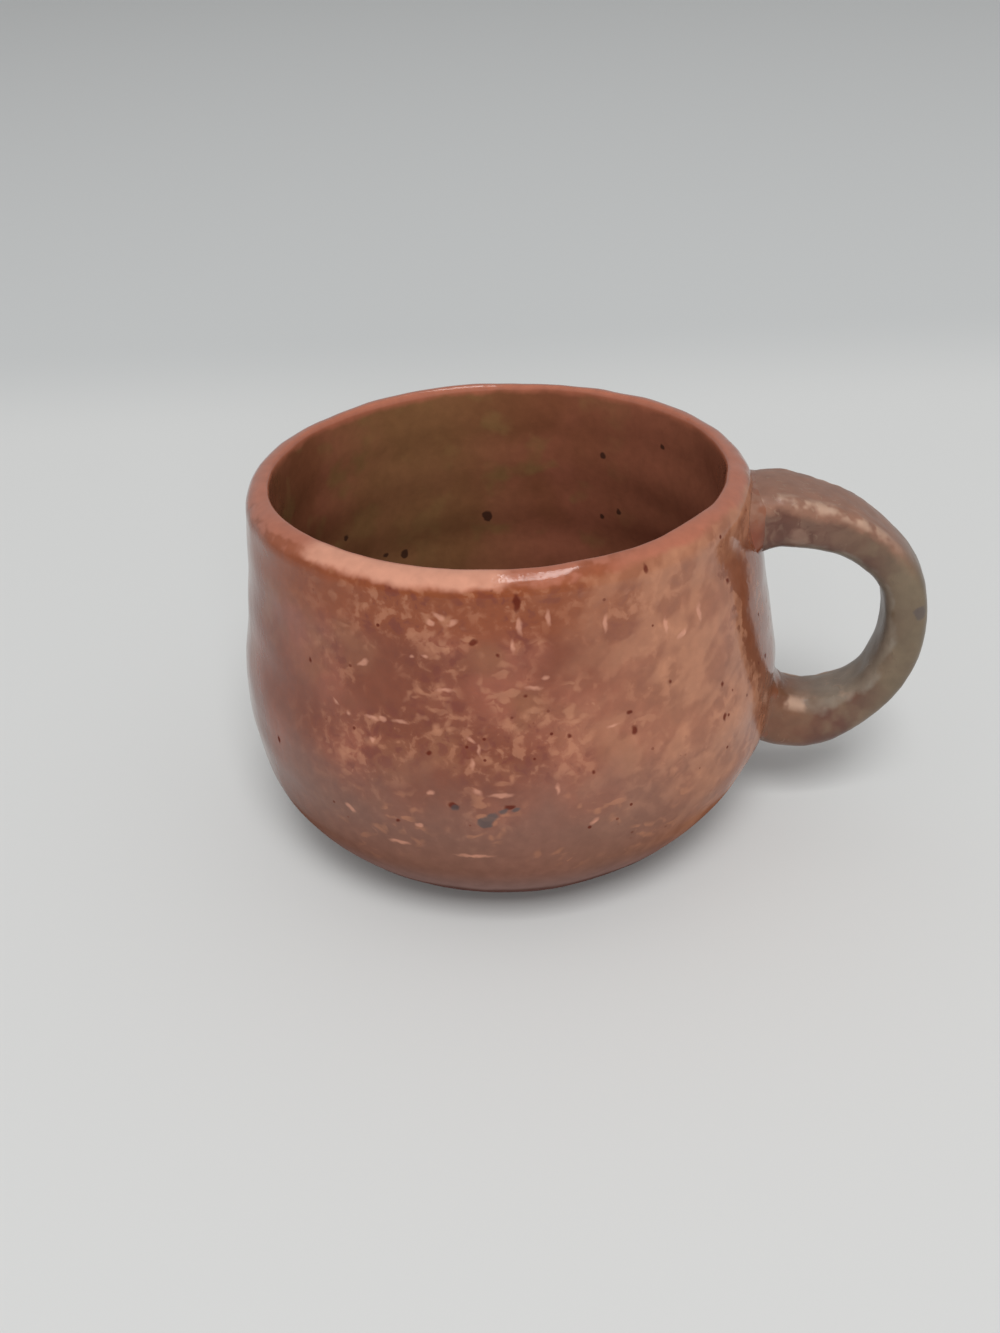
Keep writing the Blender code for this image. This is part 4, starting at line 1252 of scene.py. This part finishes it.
class SetStage(bpy.types.Operator):
    """Lays the pale floor and sets the soft light and the camera"""
    bl_idname = "pottery_mug.set_stage"
    bl_label = "Set Stage"

    def execute(self, context):
        scene, stage = context.scene, context.scene.mug_stage
        mesh = bpy.data.meshes.new("floor")
        mesh.from_pydata([(side * TABLE_HALF, depth * TABLE_HALF, -TABLE_DROP)
                          for side, depth in ((-1, -1), (1, -1), (1, 1), (-1, 1))], [], [(0, 1, 2, 3)])
        mesh.materials.append(table_paint(stage))
        floor = bpy.data.objects.new("floor", mesh)
        scene.collection.objects.link(floor)

        world = bpy.data.worlds.new("Even daylight")
        world.use_nodes = True
        tree = world.node_tree
        tree.nodes.clear()
        sky = add_node(tree, "ShaderNodeBackground", {"Color": linear("#ffffff"), "Strength": stage.daylight})
        add_node(tree, "ShaderNodeOutputWorld", {"Surface": sky})
        scene.world = world

        for name, (aim, distance, width, depth, share, shines) in LAMPS.items():
            aim = Matrix.Rotation(CAMERA_AZIMUTH, 4, "Z") @ Vector(aim).normalized()
            lamp = bpy.data.lights.new(name, "AREA")
            lamp.shape = "RECTANGLE"
            lamp.size, lamp.size_y = width, depth
            lamp.energy = stage.lamps * share * (math.pi * distance) ** 2 / aim.z
            box = bpy.data.objects.new(name, lamp)
            box.visible_glossy = shines
            box.visible_diffuse = not shines
            turn = aim.to_track_quat("Z", "X").to_matrix().to_4x4()
            box.matrix_world = Matrix.Translation(aim * distance) @ turn
            scene.collection.objects.link(box)

        scene.camera = photo_camera()
        scene.collection.objects.link(scene.camera)
        scene.view_settings.view_transform = "Standard"
        return {"FINISHED"}


class MugPanel(bpy.types.Panel):
    """Lists the steps of making the mug"""
    bl_idname = "POTTERY_MUG_PT_steps"
    bl_label = "Pottery Mug"
    bl_space_type = "VIEW_3D"
    bl_region_type = "UI"
    bl_category = "Pottery Mug"

    def draw(self, context):
        for step in STEPS:
            self.layout.operator(step.bl_idname)
        for group in SETTINGS:
            column = self.layout.column()
            for label in SETTINGS[group].__annotations__:
                column.prop(getattr(context.scene, group), label)


STEPS = (ThrowCup, PullHandle, LuteJoints, SetStage)
SETTINGS = {"mug_cup": CupSettings, "mug_strap": StrapSettings, "mug_colours": GlazeColours,
            "mug_stage": StageSettings}


def register():
    for kind in (*SETTINGS.values(), *STEPS, MugPanel):
        bpy.utils.register_class(kind)
    for group, kind in SETTINGS.items():
        setattr(bpy.types.Scene, group, bpy.props.PointerProperty(type=kind))


def unregister():
    for group in SETTINGS:
        delattr(bpy.types.Scene, group)
    for kind in (MugPanel, *STEPS, *SETTINGS.values()):
        bpy.utils.unregister_class(kind)


def main():
    register()
    bpy.ops.pottery_mug.throw_cup()
    bpy.ops.pottery_mug.pull_handle()
    bpy.ops.pottery_mug.lute_joints()
    bpy.ops.pottery_mug.set_stage()
    bpy.context.view_layer.update()


if __name__ == "__main__":
    main()
